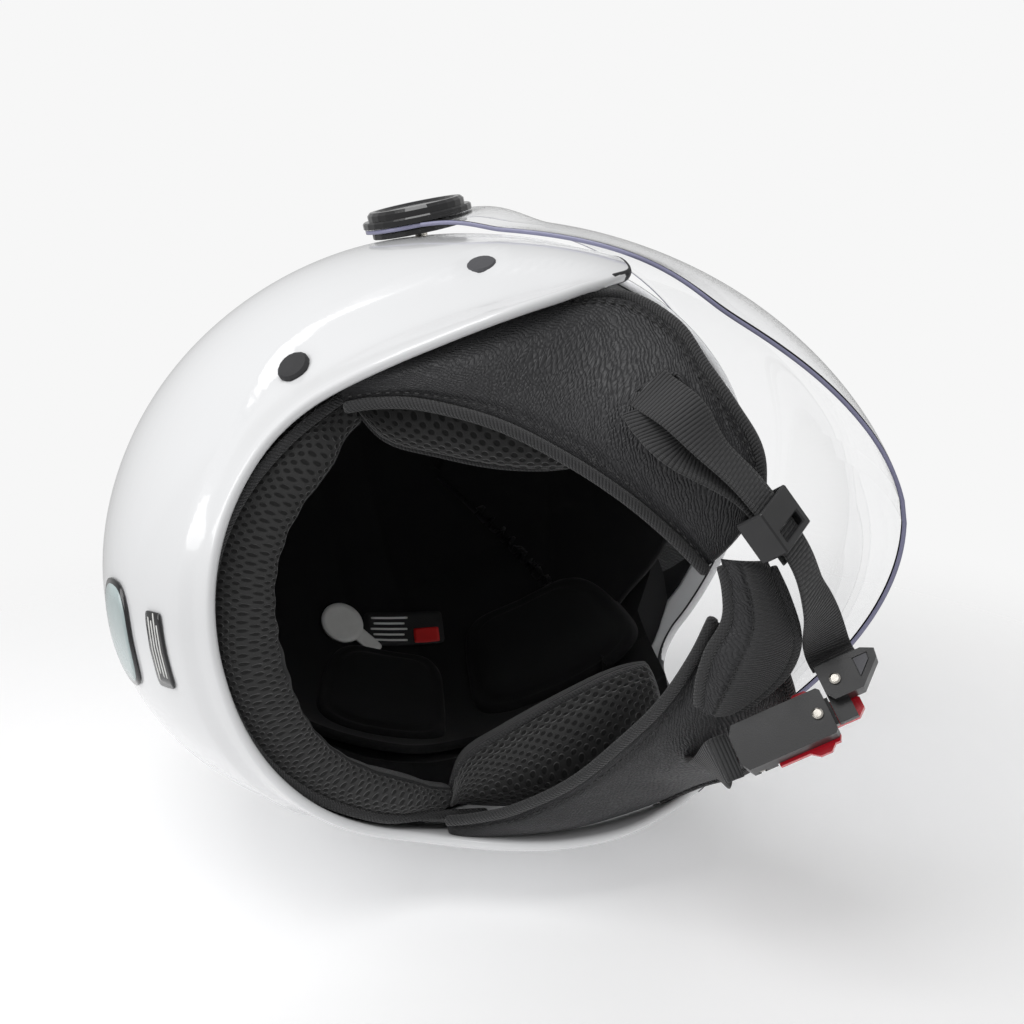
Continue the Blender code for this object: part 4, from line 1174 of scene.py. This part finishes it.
def cheek_ring(side, share, angle):
    """A point on a cheek pad: share runs from the ear to the chin, angle round its section."""
    low = sampled(evenly(spline(CHEEK_INNER), 48), share)
    fat = 0.45 + 0.55 * np.sin(np.pi * np.clip(share, 0.08, 0.92)) ** 0.5
    outer = np.minimum(side_x(low[:, 1], np.full_like(share, -0.06), WALL + 0.011), 0.0945)
    top = -0.058
    high = (top - low[:, 2]) / 2 * (0.75 + 0.25 * fat)
    x = power(np.cos(angle), 0.7)
    z = power(np.sin(angle), 0.7)
    across = (outer + low[:, 0]) / 2 + x * (outer - low[:, 0]) / 2
    up = (low[:, 2] + top) / 2 + z * high + 0.0080 * (x + 1) * (1 - z) / 2
    return np.stack([side * across, low[:, 1], up], axis=-1)


class HELMET_OT_cheek_pads(bpy.types.Operator):
    """Build the cheek pads in spacer mesh with their bound inner edge"""

    bl_idname = "helmet.cheek_pads"
    bl_label = "Cheek pads"

    def execute(self, context):
        for side, word in ((-1, "right"), (1, "left")):
            def place(u, v):
                angle = 2 * np.pi * u
                ends = np.clip(np.minimum(v, 1 - v) / 0.05, 0, 1)
                closing = np.sqrt(np.clip(1 - (1 - ends) ** 2, 0, 1))
                middle = cheek_ring(side, v, angle) * 0
                for k in range(8):
                    middle = middle + cheek_ring(side, v, np.full_like(angle, k * np.pi / 4)) / 8
                ring = cheek_ring(side, v, angle)
                swell = 1 + 0.02 * np.sin(v * 9) + 0.02 * np.sin(angle * 3 + v * 5)
                seam = np.exp(-(((angle / np.pi - 1.12) / 0.03) ** 2)) + np.exp(-(((angle / np.pi - 1.62)
                    / 0.03) ** 2))
                return middle + (ring - middle) * ((swell - 0.05 * seam) * closing)[:, None]

            pad = closed_sheet(f"cheek_cushion_{word}", 80, 96, place,
                [spacer_mesh(), ribbed_knit(0.0011, 0.0006)], (0.105, 0.10))
            facing(pad, 0.105, 0.50, 0.98)
            ridge = cheek_ring(side, np.linspace(0.05, 0.95, 60),
                np.full(60, 1.02 * np.pi)) + np.array([-side * 0.0006, 0, 0])
            cord = sweep(f"cheek_ridge_{word}", ridge, np.tile([0.0, 0.0, -1.0], (60, 1)),
                round_profile(0.0011), [cord_knit()], 120, 10)
            settle(cord, ())
            settle(pad, [f"cheek_pad_{word}"])
        return {"FINISHED"}


# ---- flaps ----

FLAP_OUTER_REAR = ((0.036, -0.0815), (0.020, -0.0845), (-0.010, -0.0855), (-0.040, -0.078))
FLAP_OUTER_FRONT = (
    (0.0965, -0.0625, -0.0745),
    (0.086, -0.076, -0.089),
    (0.073, -0.081, -0.101),
    (0.060, -0.086, -0.1115),
    (0.045, -0.0905, -0.118),
    (0.026, -0.088, -0.119),
)
FLAP_INNER = (
    (0.083, 0.037, -0.0850),
    (0.0830, 0.026, -0.0875),
    (0.080, 0.010, -0.0925),
    (0.070, -0.012, -0.0995),
    (0.055, -0.032, -0.1055),
    (0.040, -0.048, -0.1115),
    (0.024, -0.061, -0.1145),
    (0.010, -0.070, -0.1155),
)


def flap_lines(count, tuck=0.0):
    """The flap's outer and inner edges on the +X side; tuck pushes the outer one in behind the rim."""
    rear = [(float(side_x(y, z + tuck * 0.6, WALL + 0.0036 - tuck)), y, z + tuck * 0.6) for y,
        z in FLAP_OUTER_REAR]
    outer = evenly(spline([*rear, *FLAP_OUTER_FRONT]), count)
    inner = evenly(spline(FLAP_INNER), count)
    return outer, inner


class HELMET_OT_ear_flaps(bpy.types.Operator):
    """Build the leatherette ear flaps with piping, binding, stitching and strap slits"""

    bl_idname = "helmet.ear_flaps"
    bl_label = "Ear flaps"

    def execute(self, context):
        sizes = context.scene.helmet_sizes
        outer, inner = flap_lines(90, 0.0026)
        across = inner - outer
        ahead = np.gradient(outer + inner, axis=0)
        up = unit(np.cross(ahead, across))
        up = up * np.where(up[:, 2:3] > 0, -1, 1)

        def surface(u, v, rise):
            """Along u, across v, and rise from the middle layer."""
            low, high, n = sampled(outer, u), sampled(inner, u), unit(sampled(up, u))
            bow = 0.003 * 4 * v * (1 - v)
            return low + (high - low) * v[:, None] + n * (bow + rise)[:, None]

        for side, word in ((-1, "right"), (1, "left")):
            def place(u, v):
                angle = 2 * np.pi * v
                share = 0.5 - 0.5 * power(np.cos(angle), 0.8)
                ends = np.clip(np.minimum(u, 1 - u) / 0.03, 0, 1)
                closing = np.sqrt(np.clip(1 - (1 - ends) ** 2, 0, 1))
                fat = (0.6 + 0.4 * smooth(np.minimum(u, 1 - u) * 18 / 5)) * closing
                rise = 0.0025 * fat * power(np.sin(angle), 0.8)
                wave = 0.0005 * np.sin(u * 17 + share * 5) * share * (1 - share) * 4
                seam = 0.0009 * np.exp(-(((share - 0.93) / 0.02) ** 2)) * np.where(np.sin(angle) > 0, 1, 0)
                return flip_x(surface(u, share, rise + wave - seam), side)

            flap = closed_sheet(f"flap_leather_{word}", 150, 96, place, [leatherette()], (0.16, 0.11))
            settle(flap, [f"ear_flap_{word}"])
            self.piping(side, word, surface, sizes)
            self.front_trim(side, word, surface, sizes)
            self.slit(side, word)
        return {"FINISHED"}

    def piping(self, side, word, surface, sizes):
        """Knit piping along the inner edge with a row of stitches beside it."""
        u = np.linspace(0.0, 1.0, 120)
        line = surface(u, np.full(120, 1.0), np.full(120, 0.0008))
        line = line + np.array([-0.0020, 0.0004, -0.0004])
        cord = sweep(
            f"piping_{word}",
            flip_x(line, side),
            flip_x(np.tile([0.2, 0.0, -1.0], (120, 1)), side),
            round_profile(sizes.piping),
            [cord_knit()],
            220,
            12,
        )
        settle(cord, [f"flap_piping_{word}"])
        run = surface(u[3:-3], np.full(114, 0.955), np.full(114, 0.0022))
        down = flip_x(np.tile([0.0, 0.0, -1.0], (114, 1)), side)
        row = stitches(f"piping_stitches_{word}", flip_x(run, side), down, thread_black(),
            sizes.stitch_pitch)
        settle(row, ())

    def front_trim(self, side, word, surface, sizes):
        """A bound front edge with two rows of stitches inside it."""
        u = np.linspace(0.42, 0.985, 90)
        line = surface(u, np.zeros(90), np.full(90, 0.0002))
        out = unit(line - surface(u, np.full(90, 0.1), np.zeros(90)))
        line = line + out * 0.0012
        edge = sweep(
            f"front_binding_{word}",
            flip_x(line, side),
            flip_x(out, side),
            round_profile(0.0021, 0.9),
            [ribbed_knit(0.0012, 0.0007, 0.4)],
            150,
            12,
        )
        settle(edge, [f"flap_trim_{word}"])
        for k, share in enumerate((0.038, 0.066)):
            run = surface(u, np.full(90, share), np.full(90, 0.0021))
            row = stitches(
                f"front_stitches_{word}_{k}",
                flip_x(run, side),
                flip_x(np.tile([0.0, 0.0, -1.0], (90, 1)), side),
                thread_black(),
                sizes.stitch_pitch,
            )
            settle(row, ())

    def slit(self, side, word):
        """A raised welt round the slit where the strap comes out."""
        centre = Vector((side * 0.0695, -0.0625, -0.1065))
        ahead = Vector((side * 0.30, -0.93, -0.18)).normalized()
        out = Vector((side * 0.55, 0.0, -0.83))
        out = (out - ahead * out.dot(ahead)).normalized()
        wide = ahead.cross(out)
        turn = np.linspace(0, 2 * np.pi, 73)
        ring = [
            centre + ahead * (0.0102 * math.copysign(abs(math.cos(t)) ** 0.5, math.cos(t)))
            + wide * (0.0036 * math.copysign(abs(math.sin(t)) ** 0.5, math.sin(t))) - out * 0.0012
            for t in turn
        ]
        welt = sweep(f"slit_welt_{word}", ring, np.tile(tuple(out), (73, 1)), oval_profile(0.0011, 0.0011),
            [leatherette()], 72, 8, True)
        settle(welt, ())


# ---- visor ----


def visor_points(side_share, level, inset):
    """Points of the bubble: side_share runs from ear to ear, level from the lower edge to the upper one."""
    size = np.abs(side_share)
    side = np.where(side_share < 0, -1.0, 1.0)
    beyond = np.maximum(size - 0.9, 0.0) / 0.1
    turn = np.pi / 2 * np.minimum(size / 0.9, 1.0)
    bottom = -0.082 + (PIVOT.z - EAR_RADIUS + 0.082) * (turn / (np.pi / 2)) ** 2.15
    top = PIVOT.z + EAR_RADIUS + (0.075 - PIVOT.z - EAR_RADIUS) * np.cos(turn)
    reach = np.sin(beyond * np.radians(90))
    half = EAR_RADIUS * np.sqrt(np.clip(1 - reach * reach, 0, 1))
    z = np.where(beyond > 0, PIVOT.z + half * (2 * level - 1), bottom + (top - bottom) * level)
    width = 0.126 * np.sqrt(1 - ((z - 0.020) / 0.1688) ** 2)
    radius = np.where(z < -0.015, 0.2026, 0.147)
    depth = 0.160 * np.sqrt(1 - ((z + 0.015) / radius) ** 2)
    share = 2 / 1.88
    x = (width - inset) * np.sin(turn) ** share
    y = -(depth - inset) * np.abs(np.cos(turn)) ** share + PIVOT.y
    x = np.where(beyond > 0, 0.126, x)
    y = np.where(beyond > 0, PIVOT.y + EAR_RADIUS * reach, y)
    clear = side_x(y, z) + VISOR_WALL + 0.0012 - inset
    x = (x + clear + np.sqrt((x - clear) ** 2 + 0.004**2)) / 2
    away = np.hypot(y - PIVOT.y, z - PIVOT.z)
    flat = 1 - smooth((away - 0.023) / 0.030)
    x = x + (EAR_X - inset - x) * flat
    return np.stack([side * x, y, z], axis=-1)


class HELMET_OT_visor(bpy.types.Operator):
    """Build the clear bubble visor with its tinted cut edge, and finish the pivots"""

    bl_idname = "helmet.visor"
    bl_label = "Visor"

    def execute(self, context):
        columns, rows = 240, 56

        def place(u, v):
            across = np.sign(u - 0.5) * np.abs(2 * u - 1)
            return visor_points(across, v, 0.0)

        bm = sheet_bm(columns, rows, place, (0.5, 0.15))
        bmesh.ops.remove_doubles(bm, verts=bm.verts, dist=1e-5)
        bmesh.ops.recalc_face_normals(bm, faces=bm.faces)
        centre = max(bm.faces, key=lambda f: -f.calc_center_median().y)
        if centre.normal.y > 0:
            bmesh.ops.reverse_faces(bm, faces=bm.faces)
        visor = place_mesh("bubble", bm, [visor_clear(), visor_edge()])
        wall = visor.modifiers.new("wall", "SOLIDIFY")
        wall.thickness = VISOR_WALL * 0.8
        wall.offset = -1.0
        wall.material_offset_rim = 1
        settle(visor, ["visor"], "visor")
        cad_material(gloss_black(), "visor_cap_left", "visor_cap_right")
        cad_material(moulded_black(), "pivot_plate_left", "pivot_plate_right")
        cad_material(plated_steel(), "pivot_screw_left", "pivot_screw_right", "pivot_nut_left",
            "pivot_nut_right")
        cad_material(plated_steel(), "strap_anchor_left", "strap_anchor_right", "anchor_rivet_left",
            "anchor_rivet_right")
        return {"FINISHED"}


# ---- strap and buckle ----


def local_frame(centre, ahead, out):
    x = ahead.normalized()
    y = out.cross(x).normalized()
    return Matrix.Translation(centre) @ Matrix((x, y, x.cross(y))).transposed().to_4x4()


def buckle_frame():
    return local_frame(BUCKLE_CENTRE, BUCKLE_AHEAD, BUCKLE_OUT)


def slider_frame():
    normal = SLIDER_AHEAD.cross(SLIDER_ACROSS)
    if normal.y > 0:
        normal.negate()
    return local_frame(SLIDER_CENTRE, SLIDER_AHEAD, normal)


def slit_ahead(side):
    return Vector((side * 0.30, -0.93, -0.18)).normalized()


def webbing(name, points, twist, material, width=WEB_WIDTH):
    """Flat webbing along a line; twist lists shares of its length with the direction of its width."""
    line = evenly(spline(points, 10), 81)
    shares = np.linspace(0, 1, 81)
    widths = np.zeros((81, 3))
    for (start, first), (end, last) in zip(twist, twist[1:]):
        part = (shares >= start) & (shares <= end)
        mix = smooth((shares[part] - start) / (end - start))[:, None]
        widths[part] = np.array(first) * (1 - mix) + np.array(last) * mix
    tangents = unit(np.gradient(line, axis=0))
    widths = unit(widths - tangents * (widths * tangents).sum(-1, keepdims=True))
    return sweep(name, line, np.cross(tangents, widths), band_profile(width, WEB_THICKNESS), [material],
        160, 24)


class HELMET_OT_strap(bpy.types.Operator):
    """Build the chin strap's webbing and finish its slider"""

    bl_idname = "helmet.strap"
    bl_label = "Chin strap"

    def execute(self, context):
        slider = slider_frame()
        slit = slit_ahead(-1)
        across = slider.col[1].xyz
        if across.dot(slit) < 0:
            across = -across
        before, after = slider @ Vector((-0.012, 0, 0)), slider @ Vector((0.012, 0, 0))
        buckle = buckle_frame()
        half = BUCKLE_HALF
        end = buckle @ Vector((half + CLAMP_WEB_X, -CLAMP_REACH + 0.0006, -0.0010))
        before_end = buckle @ Vector((half + CLAMP_WEB_X, -CLAMP_REACH - 0.006, -0.0014))
        start = Vector((-0.0720, -0.0610, -0.1045))
        top = [start, (-0.0700, -0.0628, -0.1075), (-0.0640, -0.0690, -0.1190), (-0.0521, -0.0755, -0.1245)]
        top += [before, after, (0.0010, -0.0985, -0.1360), before_end, end]
        twist = [(0, slit), (0.32, across), (0.62, across), (1, buckle.col[0].xyz)]
        knit = ribbed_knit(0.0013, 0.0012)
        main = webbing("strap_main", top, twist, knit)
        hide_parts("right_webbing")
        tuple(after)
        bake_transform(main)
        under = slider.col[2].xyz * -0.0022
        tail = [(-0.0660, -0.0580, -0.1080), (-0.0600, -0.0600, -0.1145), (-0.0515, -0.0655, -0.1225)]
        tail += [before + under * 1.4, after + under]
        twist = [(0, slit.lerp(across, 0.6)), (0.45, across), (1, across)]
        loose = webbing("strap_return", tail, twist, knit, WEB_WIDTH - 0.001)
        settle(loose, ["right_webbing_tail"])
        end = buckle @ Vector((-half - 0.0008, 0, 0))
        before_end = buckle @ Vector((-half - 0.0075, 0, 0))
        left = [(0.0675, -0.0610, -0.1030), (0.0668, -0.0605, -0.1065), (0.0665, -0.0605, -0.1140)]
        left += [(0.0625, -0.0595, -0.1230), before_end, end]
        short = webbing("strap_left", left, [(0, -slit_ahead(1)), (1, -buckle.col[1].xyz)], knit)
        settle(short, ["left_webbing"])
        cad_material(moulded_black(), "strap_slider")
        return {"FINISHED"}


class HELMET_OT_buckle(bpy.types.Operator):
    """Finish the micrometric buckle"""

    bl_idname = "helmet.buckle"
    bl_label = "Buckle"

    def execute(self, context):
        cad_material(moulded_black(), "buckle_housing", "tongue_clamp")
        cad_material(gloss_black(), "ratchet_tongue")
        cad_material(lever_red(), "release_lever")
        cad_material(plated_steel(), "buckle_screw", "clamp_screw", "lever_pin")
        cad_material(soft_rubber(0.09), "clamp_insert")
        return {"FINISHED"}


class HELMET_OT_chin_pad(bpy.types.Operator):
    """Build the ribbed leatherette chin pad with its seam"""

    bl_idname = "helmet.chin_pad"
    bl_label = "Chin pad"

    def execute(self, context):
        lower = [(-0.0165, -0.0722, -0.1270), (-0.006, -0.0728, -0.1280), (0.0050, -0.0710, -0.1285)]
        lower += [(0.0150, -0.0640, -0.1280), (0.0260, -0.0595, -0.1270), (0.0370, -0.0580, -0.1245)]
        upper = [(-0.0125, -0.0872, -0.1270), (0.002, -0.0910, -0.1288), (0.0160, -0.0925, -0.1295)]
        upper += [(0.0270, -0.0880, -0.1285), (0.0345, -0.0790, -0.1270), (0.0400, -0.0690, -0.1250)]
        low, high = evenly(spline(lower), 60), evenly(spline(upper), 60)
        up = unit(np.cross(np.gradient(low + high, axis=0), high - low))
        up = up * np.where(up[:, 2:3] > 0, -1, 1)

        def surface(u, share, rise):
            a, b, n = sampled(low, u), sampled(high, u), unit(sampled(up, u))
            return a + (b - a) * share[:, None] + n * (rise + 0.002 * 4 * share * (1 - share))[:, None]

        def place(u, v):
            angle = 2 * np.pi * v
            share = 0.5 - 0.5 * power(np.cos(angle), 0.8)
            ends = np.clip(np.minimum(u, 1 - u) / 0.06, 0, 1)
            closing = np.sqrt(np.clip(1 - (1 - ends) ** 2, 0, 1))
            folds = 1 + 0.12 * np.sin(u * 13 + share * 3) - 0.32 * np.exp(-(((share - 0.34) / 0.035) ** 2))
            return surface(u, share, 0.0024 * power(np.sin(angle), 0.8) * closing * folds)

        pad = closed_sheet("chin_cushion", 120, 72, place,
            [leatherette(), ribbed_knit(0.0011, 0.0016, 0.9)], (0.07, 0.04))
        for face in pad.data.polygons:
            middle = face.center
            nearest = int(np.argmin(((low - np.array(middle)) ** 2).sum(-1)))
            span = high[nearest] - low[nearest]
            face.material_index = 1 if (np.array(middle)
                - low[nearest]) @ span > 0.34 * (span @ span) else 0
        settle(pad, ["chin_pad"])
        u = np.linspace(0.04, 0.96, 60)
        down = np.tile([0.0, 0.0, -1.0], (60, 1))
        seam = surface(u, np.full(60, 0.34), np.full(60, 0.0018))
        row = stitches("chin_seam", seam, down, thread_black(), 0.0024, 0.0018)
        settle(row, ())
        for name, share in (("chin_binding", 0.0), ("chin_hem", 1.0)):
            edge = surface(u, np.full(60, share), np.full(60, 0.0))
            cord = sweep(name, edge, down, round_profile(0.0021), [cord_knit()], 120,
                12)
            settle(cord, ())
        return {"FINISHED"}


# ---- badges ----


class HELMET_OT_labels(bpy.types.Operator):
    """Finish the badge, the label at the back and the sewn label in the crown"""

    bl_idname = "helmet.labels"
    bl_label = "Labels"

    def execute(self, context):
        across = (1.0, 0.0, 0.0)
        on = -0.0004
        badge = tile("badge_rim", BADGE_AT, across, (0.042, 0.029), on, 0.0007,
            gloss_black(), 0.75)
        settle(badge, ["rear_badge"])
        face = tile("badge_face", BADGE_AT, across, (0.038, 0.0255), on - 0.0007, 0.0002,
            foil_badge(), 0.75)
        settle(face, ())
        label = tile("info_plate", LABEL_AT, across, (0.0285, 0.0100), on, 0.0005,
            gloss_black(), 0.2)
        settle(label, ["info_label"])
        for k in range(4):
            wide = 0.024 - 0.004 * (k % 2)
            centre = (-0.0115 - 0.001 * (k % 3), 0.119, -0.0839 - 0.0022 * k)
            bar = tile(f"info_bar_{k}", centre, across, (wide, 0.0008), on - 0.0005, 0.0001, pale_print(),
                0.15, 12)
            settle(bar, ())
        self.sewn_label()
        return {"FINISHED"}

    def sewn_label(self):
        """The black cloth label in the crown with its pale bars and red block, and the pale tab beside
        it."""
        inside = LINING_INSET + 0.0016
        centre, along = np.array([0.0665, 0.0500, 0.0655]), np.array([0.14, -0.98, 0.05])
        down = np.array([0.45, 0.05, -0.9])
        cloth = tile("sewn_label", centre, along, (0.040, 0.019), inside, 0.0006, woven_black(), 0.2, 24,
            -1)
        settle(cloth, ["inner_label"])
        proud = inside + 0.0007
        for k in range(5):
            spot = centre - along * 0.008 + down * (-0.0070 + 0.0034 * k)
            bar = tile(f"sewn_bar_{k}", spot, along, (0.0185 - 0.003 * (k % 2), 0.0011), proud, 0.0001,
                pale_print(), 0.15, 12, -1)
            settle(bar, ())
        block = tile("sewn_block", centre + along * 0.012 + down * 0.0045, along, (0.0125, 0.0085), proud,
            0.0001, red_print(), 0.15, 16, -1)
        settle(block, ())
        tab = tile("tab_disc", (0.0540, 0.0790, 0.0600), along, (0.0215, 0.0215), inside, 0.0012,
            pale_print(), 1.0, 32, -1)
        settle(tab, ())
        stalk = tile("tab_stalk", (0.0625, 0.0715, 0.0580), (0.75, -0.5, -0.3), (0.0230, 0.0075), inside,
            0.0011, pale_print(), 0.4, 20, -1)
        settle(stalk, ())


def tile(name, centre, ahead, size, inset, thick, material, square=0.3, around=32, outward=1):
    """A thin plate with rounded corners, laid on the shell or, with outward -1, on the lining."""
    middle = cast(aim(np.array([centre])), inset)
    normal = surface_normal(middle, inset)[0]
    along = np.array(ahead) - normal * (np.array(ahead) @ normal)
    along = along / np.linalg.norm(along)
    side = np.cross(normal, along)

    def place(u, v):
        angle = 2 * np.pi * u
        radius = np.clip(np.minimum(v, 1 - v) / 0.4, 0, 1)
        da = size[0] / 2 * radius * power(np.cos(angle), square)
        db = size[1] / 2 * radius * power(np.sin(angle), square)
        flat = middle + along * da[:, None] + side * db[:, None]
        rise = thick * (1 - np.clip((v - 0.4) / 0.2, 0, 1)) * outward
        return cast(aim(flat), inset) + normal * rise[:, None]

    return closed_sheet(name, around, 10, place, [material], (0.1, 0.1))


@once
def pale_print(name):
    made, tree, shader = blank(name, Roughness=0.45)
    wear = effect(tree, "Soft Wear", coords(tree), Scale=160.0, Amount=0.4)
    shade(tree, shader, wear["Cloud"], (0.62, 0.62, 0.60, 1), (0.80, 0.80, 0.78, 1))
    return made


@once
def red_print(name):
    made, tree, shader = blank(name, Roughness=0.55)
    wear = effect(tree, "Soft Wear", coords(tree), Scale=160.0, Amount=0.4)
    shade(tree, shader, wear["Cloud"], (0.55, 0.01, 0.01, 1), (0.72, 0.02, 0.02, 1))
    return made


@once
def woven_black(name):
    made, tree, shader = blank(name, Roughness=0.7)
    weave = effect(tree, "Rib Weave", coords(tree), Rib=0.0006, Thread=0.0006, Lean=0.0)
    # painted shade: the cloth is coloured darker in the gaps between the woven ribs
    shade(tree, shader, weave["Gap Shade"], (0.012, 0.012, 0.013, 1), (0.004, 0.004, 0.004, 1))
    bump(tree, shader, weave["Height"], 0.0001)
    return made


@once
def foil_badge(name):
    made, tree, shader = blank(name, Roughness=0.25, Coat_Weight=0.5)
    wear = effect(tree, "Soft Wear", coords(tree), Scale=60.0, Amount=0.4)
    base = tuple(colours().badge)
    shade(tree, shader, wear["Cloud"], tint(base, 0.7), tint(base, 1.3))
    roughen(tree, shader, wear["Cloud"], 0.2, 0.8, 0.15, 0.35)
    return made


# ---- stage ----

UP = Vector((-0.980, -0.195, 0.046)).normalized()
CAMERA_AT = Vector((-0.16203, 0.00201, -0.47334))
CAMERA_RIGHT = Vector((0.19038734, -0.97703911, -0.09564118))
CAMERA_UP = Vector((-0.92967954, -0.21073462, 0.30213719))


class HELMET_OT_stage(bpy.types.Operator):
    """Set the floor, the lights, the world and the camera"""

    bl_idname = "helmet.stage"
    bl_label = "Stage"

    def execute(self, context):
        scene = context.scene
        across = CAMERA_RIGHT - UP * CAMERA_RIGHT.dot(UP)
        basis = Matrix((across.normalized(), UP.cross(across.normalized()), UP)).transposed()
        lowest = min(min(v.co.dot(UP) for v in bpy.data.objects[name].data.vertices) for name in ("shell",
            "bubble"))
        bm = bmesh.new()
        bmesh.ops.create_grid(bm, x_segments=1, y_segments=1, size=6.0)
        bmesh.ops.transform(bm, matrix=Matrix.Translation(UP * (lowest - 0.0005)) @ basis.to_4x4(),
            verts=bm.verts)
        floor = place_mesh("floor", bm, [self.floor_paint()], False)
        world = bpy.data.worlds.new("studio")
        scene.world = world
        world.use_nodes = True
        self.sky(world.node_tree)
        self.light("overhead", UP * 0.80 + CAMERA_RIGHT * -0.30 - Vector((0, 0, 0.30)), 0.55, 3.4)
        self.light("side", CAMERA_AT * 0.7 + UP * 0.25 - CAMERA_RIGHT * 0.75, 0.5, 2.0)
        camera = bpy.data.cameras.new("camera")
        camera.lens = 41.18
        camera.sensor_width = 36.0
        camera.clip_start = 0.01
        holder = bpy.data.objects.new("camera", camera)
        scene.collection.objects.link(holder)
        right = CAMERA_RIGHT.normalized()
        back = right.cross(CAMERA_UP).normalized()
        holder.matrix_world = Matrix.Translation(CAMERA_AT) @ Matrix((right, back.cross(right),
            back)).transposed().to_4x4()
        scene.camera = holder
        scene.view_settings.view_transform = "Standard"
        return {"FINISHED"}

    def sky(self, tree):
        """An even white surround: full brightness where it is seen, and less of it in the lighting."""
        back = tree.nodes["Background"]
        back.inputs["Color"].default_value = (1.0, 1.0, 1.0, 1.0)
        path = tree.nodes.new("ShaderNodeLightPath")
        seen = calc(tree, "MAXIMUM", path.outputs["Is Camera Ray"], path.outputs["Is Transmission Ray"])
        tree.links.new(calc(tree, "MULTIPLY_ADD", seen, 0.45, 0.48), back.inputs["Strength"])

    def light(self, name, place, size, power_w):
        data = bpy.data.lights.new(name, "AREA")
        data.size = size
        data.energy = power_w
        holder = bpy.data.objects.new(name, data)
        bpy.context.scene.collection.objects.link(holder)
        holder.location = place
        holder.rotation_mode = "QUATERNION"
        holder.rotation_quaternion = (-Vector(place)).to_track_quat("-Z", "Y")

    def floor_paint(self):
        """A pale floor that can't be seen from below."""
        made, tree, shader = blank("Floor Paint", Roughness=0.9)
        shader.inputs["Specular IOR Level"].default_value = 0.1
        shader.inputs["Emission Color"].default_value = (1.0, 1.0, 1.0, 1.0)
        shader.inputs["Emission Strength"].default_value = 0.16
        tone = noise(tree, coords(tree), 3.0, 1.0)
        shade(tree, shader, tone, (0.905, 0.905, 0.91, 1), (0.915, 0.915, 0.92, 1))
        away = node(tree, "ShaderNodeVectorMath", {"operation": "LENGTH"}, i0=coords(tree)).outputs["Value"]
        fade = ramp(tree, away, 0.22, 0.55, 0.0, 1.0)
        out = tree.nodes["Material Output"]
        clear = node(tree, "ShaderNodeBsdfTransparent")
        face = tree.nodes.new("ShaderNodeNewGeometry")
        mix = tree.nodes.new("ShaderNodeMixShader")
        tree.links.new(calc(tree, "MAXIMUM", face.outputs["Backfacing"], fade), mix.inputs[0])
        tree.links.new(shader.outputs[0], mix.inputs[1])
        tree.links.new(clear.outputs[0], mix.inputs[2])
        tree.links.new(mix.outputs[0], out.inputs["Surface"])
        return made


OPERATORS = (
    HELMET_OT_shell,
    HELMET_OT_lining,
    HELMET_OT_neck_roll,
    HELMET_OT_cheek_pads,
    HELMET_OT_ear_flaps,
    HELMET_OT_visor,
    HELMET_OT_strap,
    HELMET_OT_buckle,
    HELMET_OT_chin_pad,
    HELMET_OT_labels,
    HELMET_OT_stage,
)


class HELMET_PT_builder(bpy.types.Panel):
    """Lists the helmet's pieces with their sizes and colours"""

    bl_idname = "HELMET_PT_builder"
    bl_label = "Scooter Helmet"
    bl_space_type = "VIEW_3D"
    bl_region_type = "UI"
    bl_category = "Helmet"

    def draw(self, context):
        layout = self.layout
        for settings in (context.scene.helmet_sizes, context.scene.helmet_colours):
            box = layout.box()
            for key in settings.__annotations__:
                box.prop(settings, key)
        for operator in OPERATORS:
            layout.operator(operator.bl_idname)


CLASSES = (HelmetSizes, HelmetColours, *OPERATORS, HELMET_PT_builder)


def register():
    for item in CLASSES:
        bpy.utils.register_class(item)
    bpy.types.Scene.helmet_sizes = bpy.props.PointerProperty(type=HelmetSizes)
    bpy.types.Scene.helmet_colours = bpy.props.PointerProperty(type=HelmetColours)


def unregister():
    del bpy.types.Scene.helmet_colours
    del bpy.types.Scene.helmet_sizes
    for item in reversed(CLASSES):
        bpy.utils.unregister_class(item)


def main():
    register()
    for operator in OPERATORS:
        group_name, call = operator.bl_idname.split(".")
        getattr(getattr(bpy.ops, group_name), call)()
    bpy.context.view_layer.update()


if __name__ == "__main__":
    main()
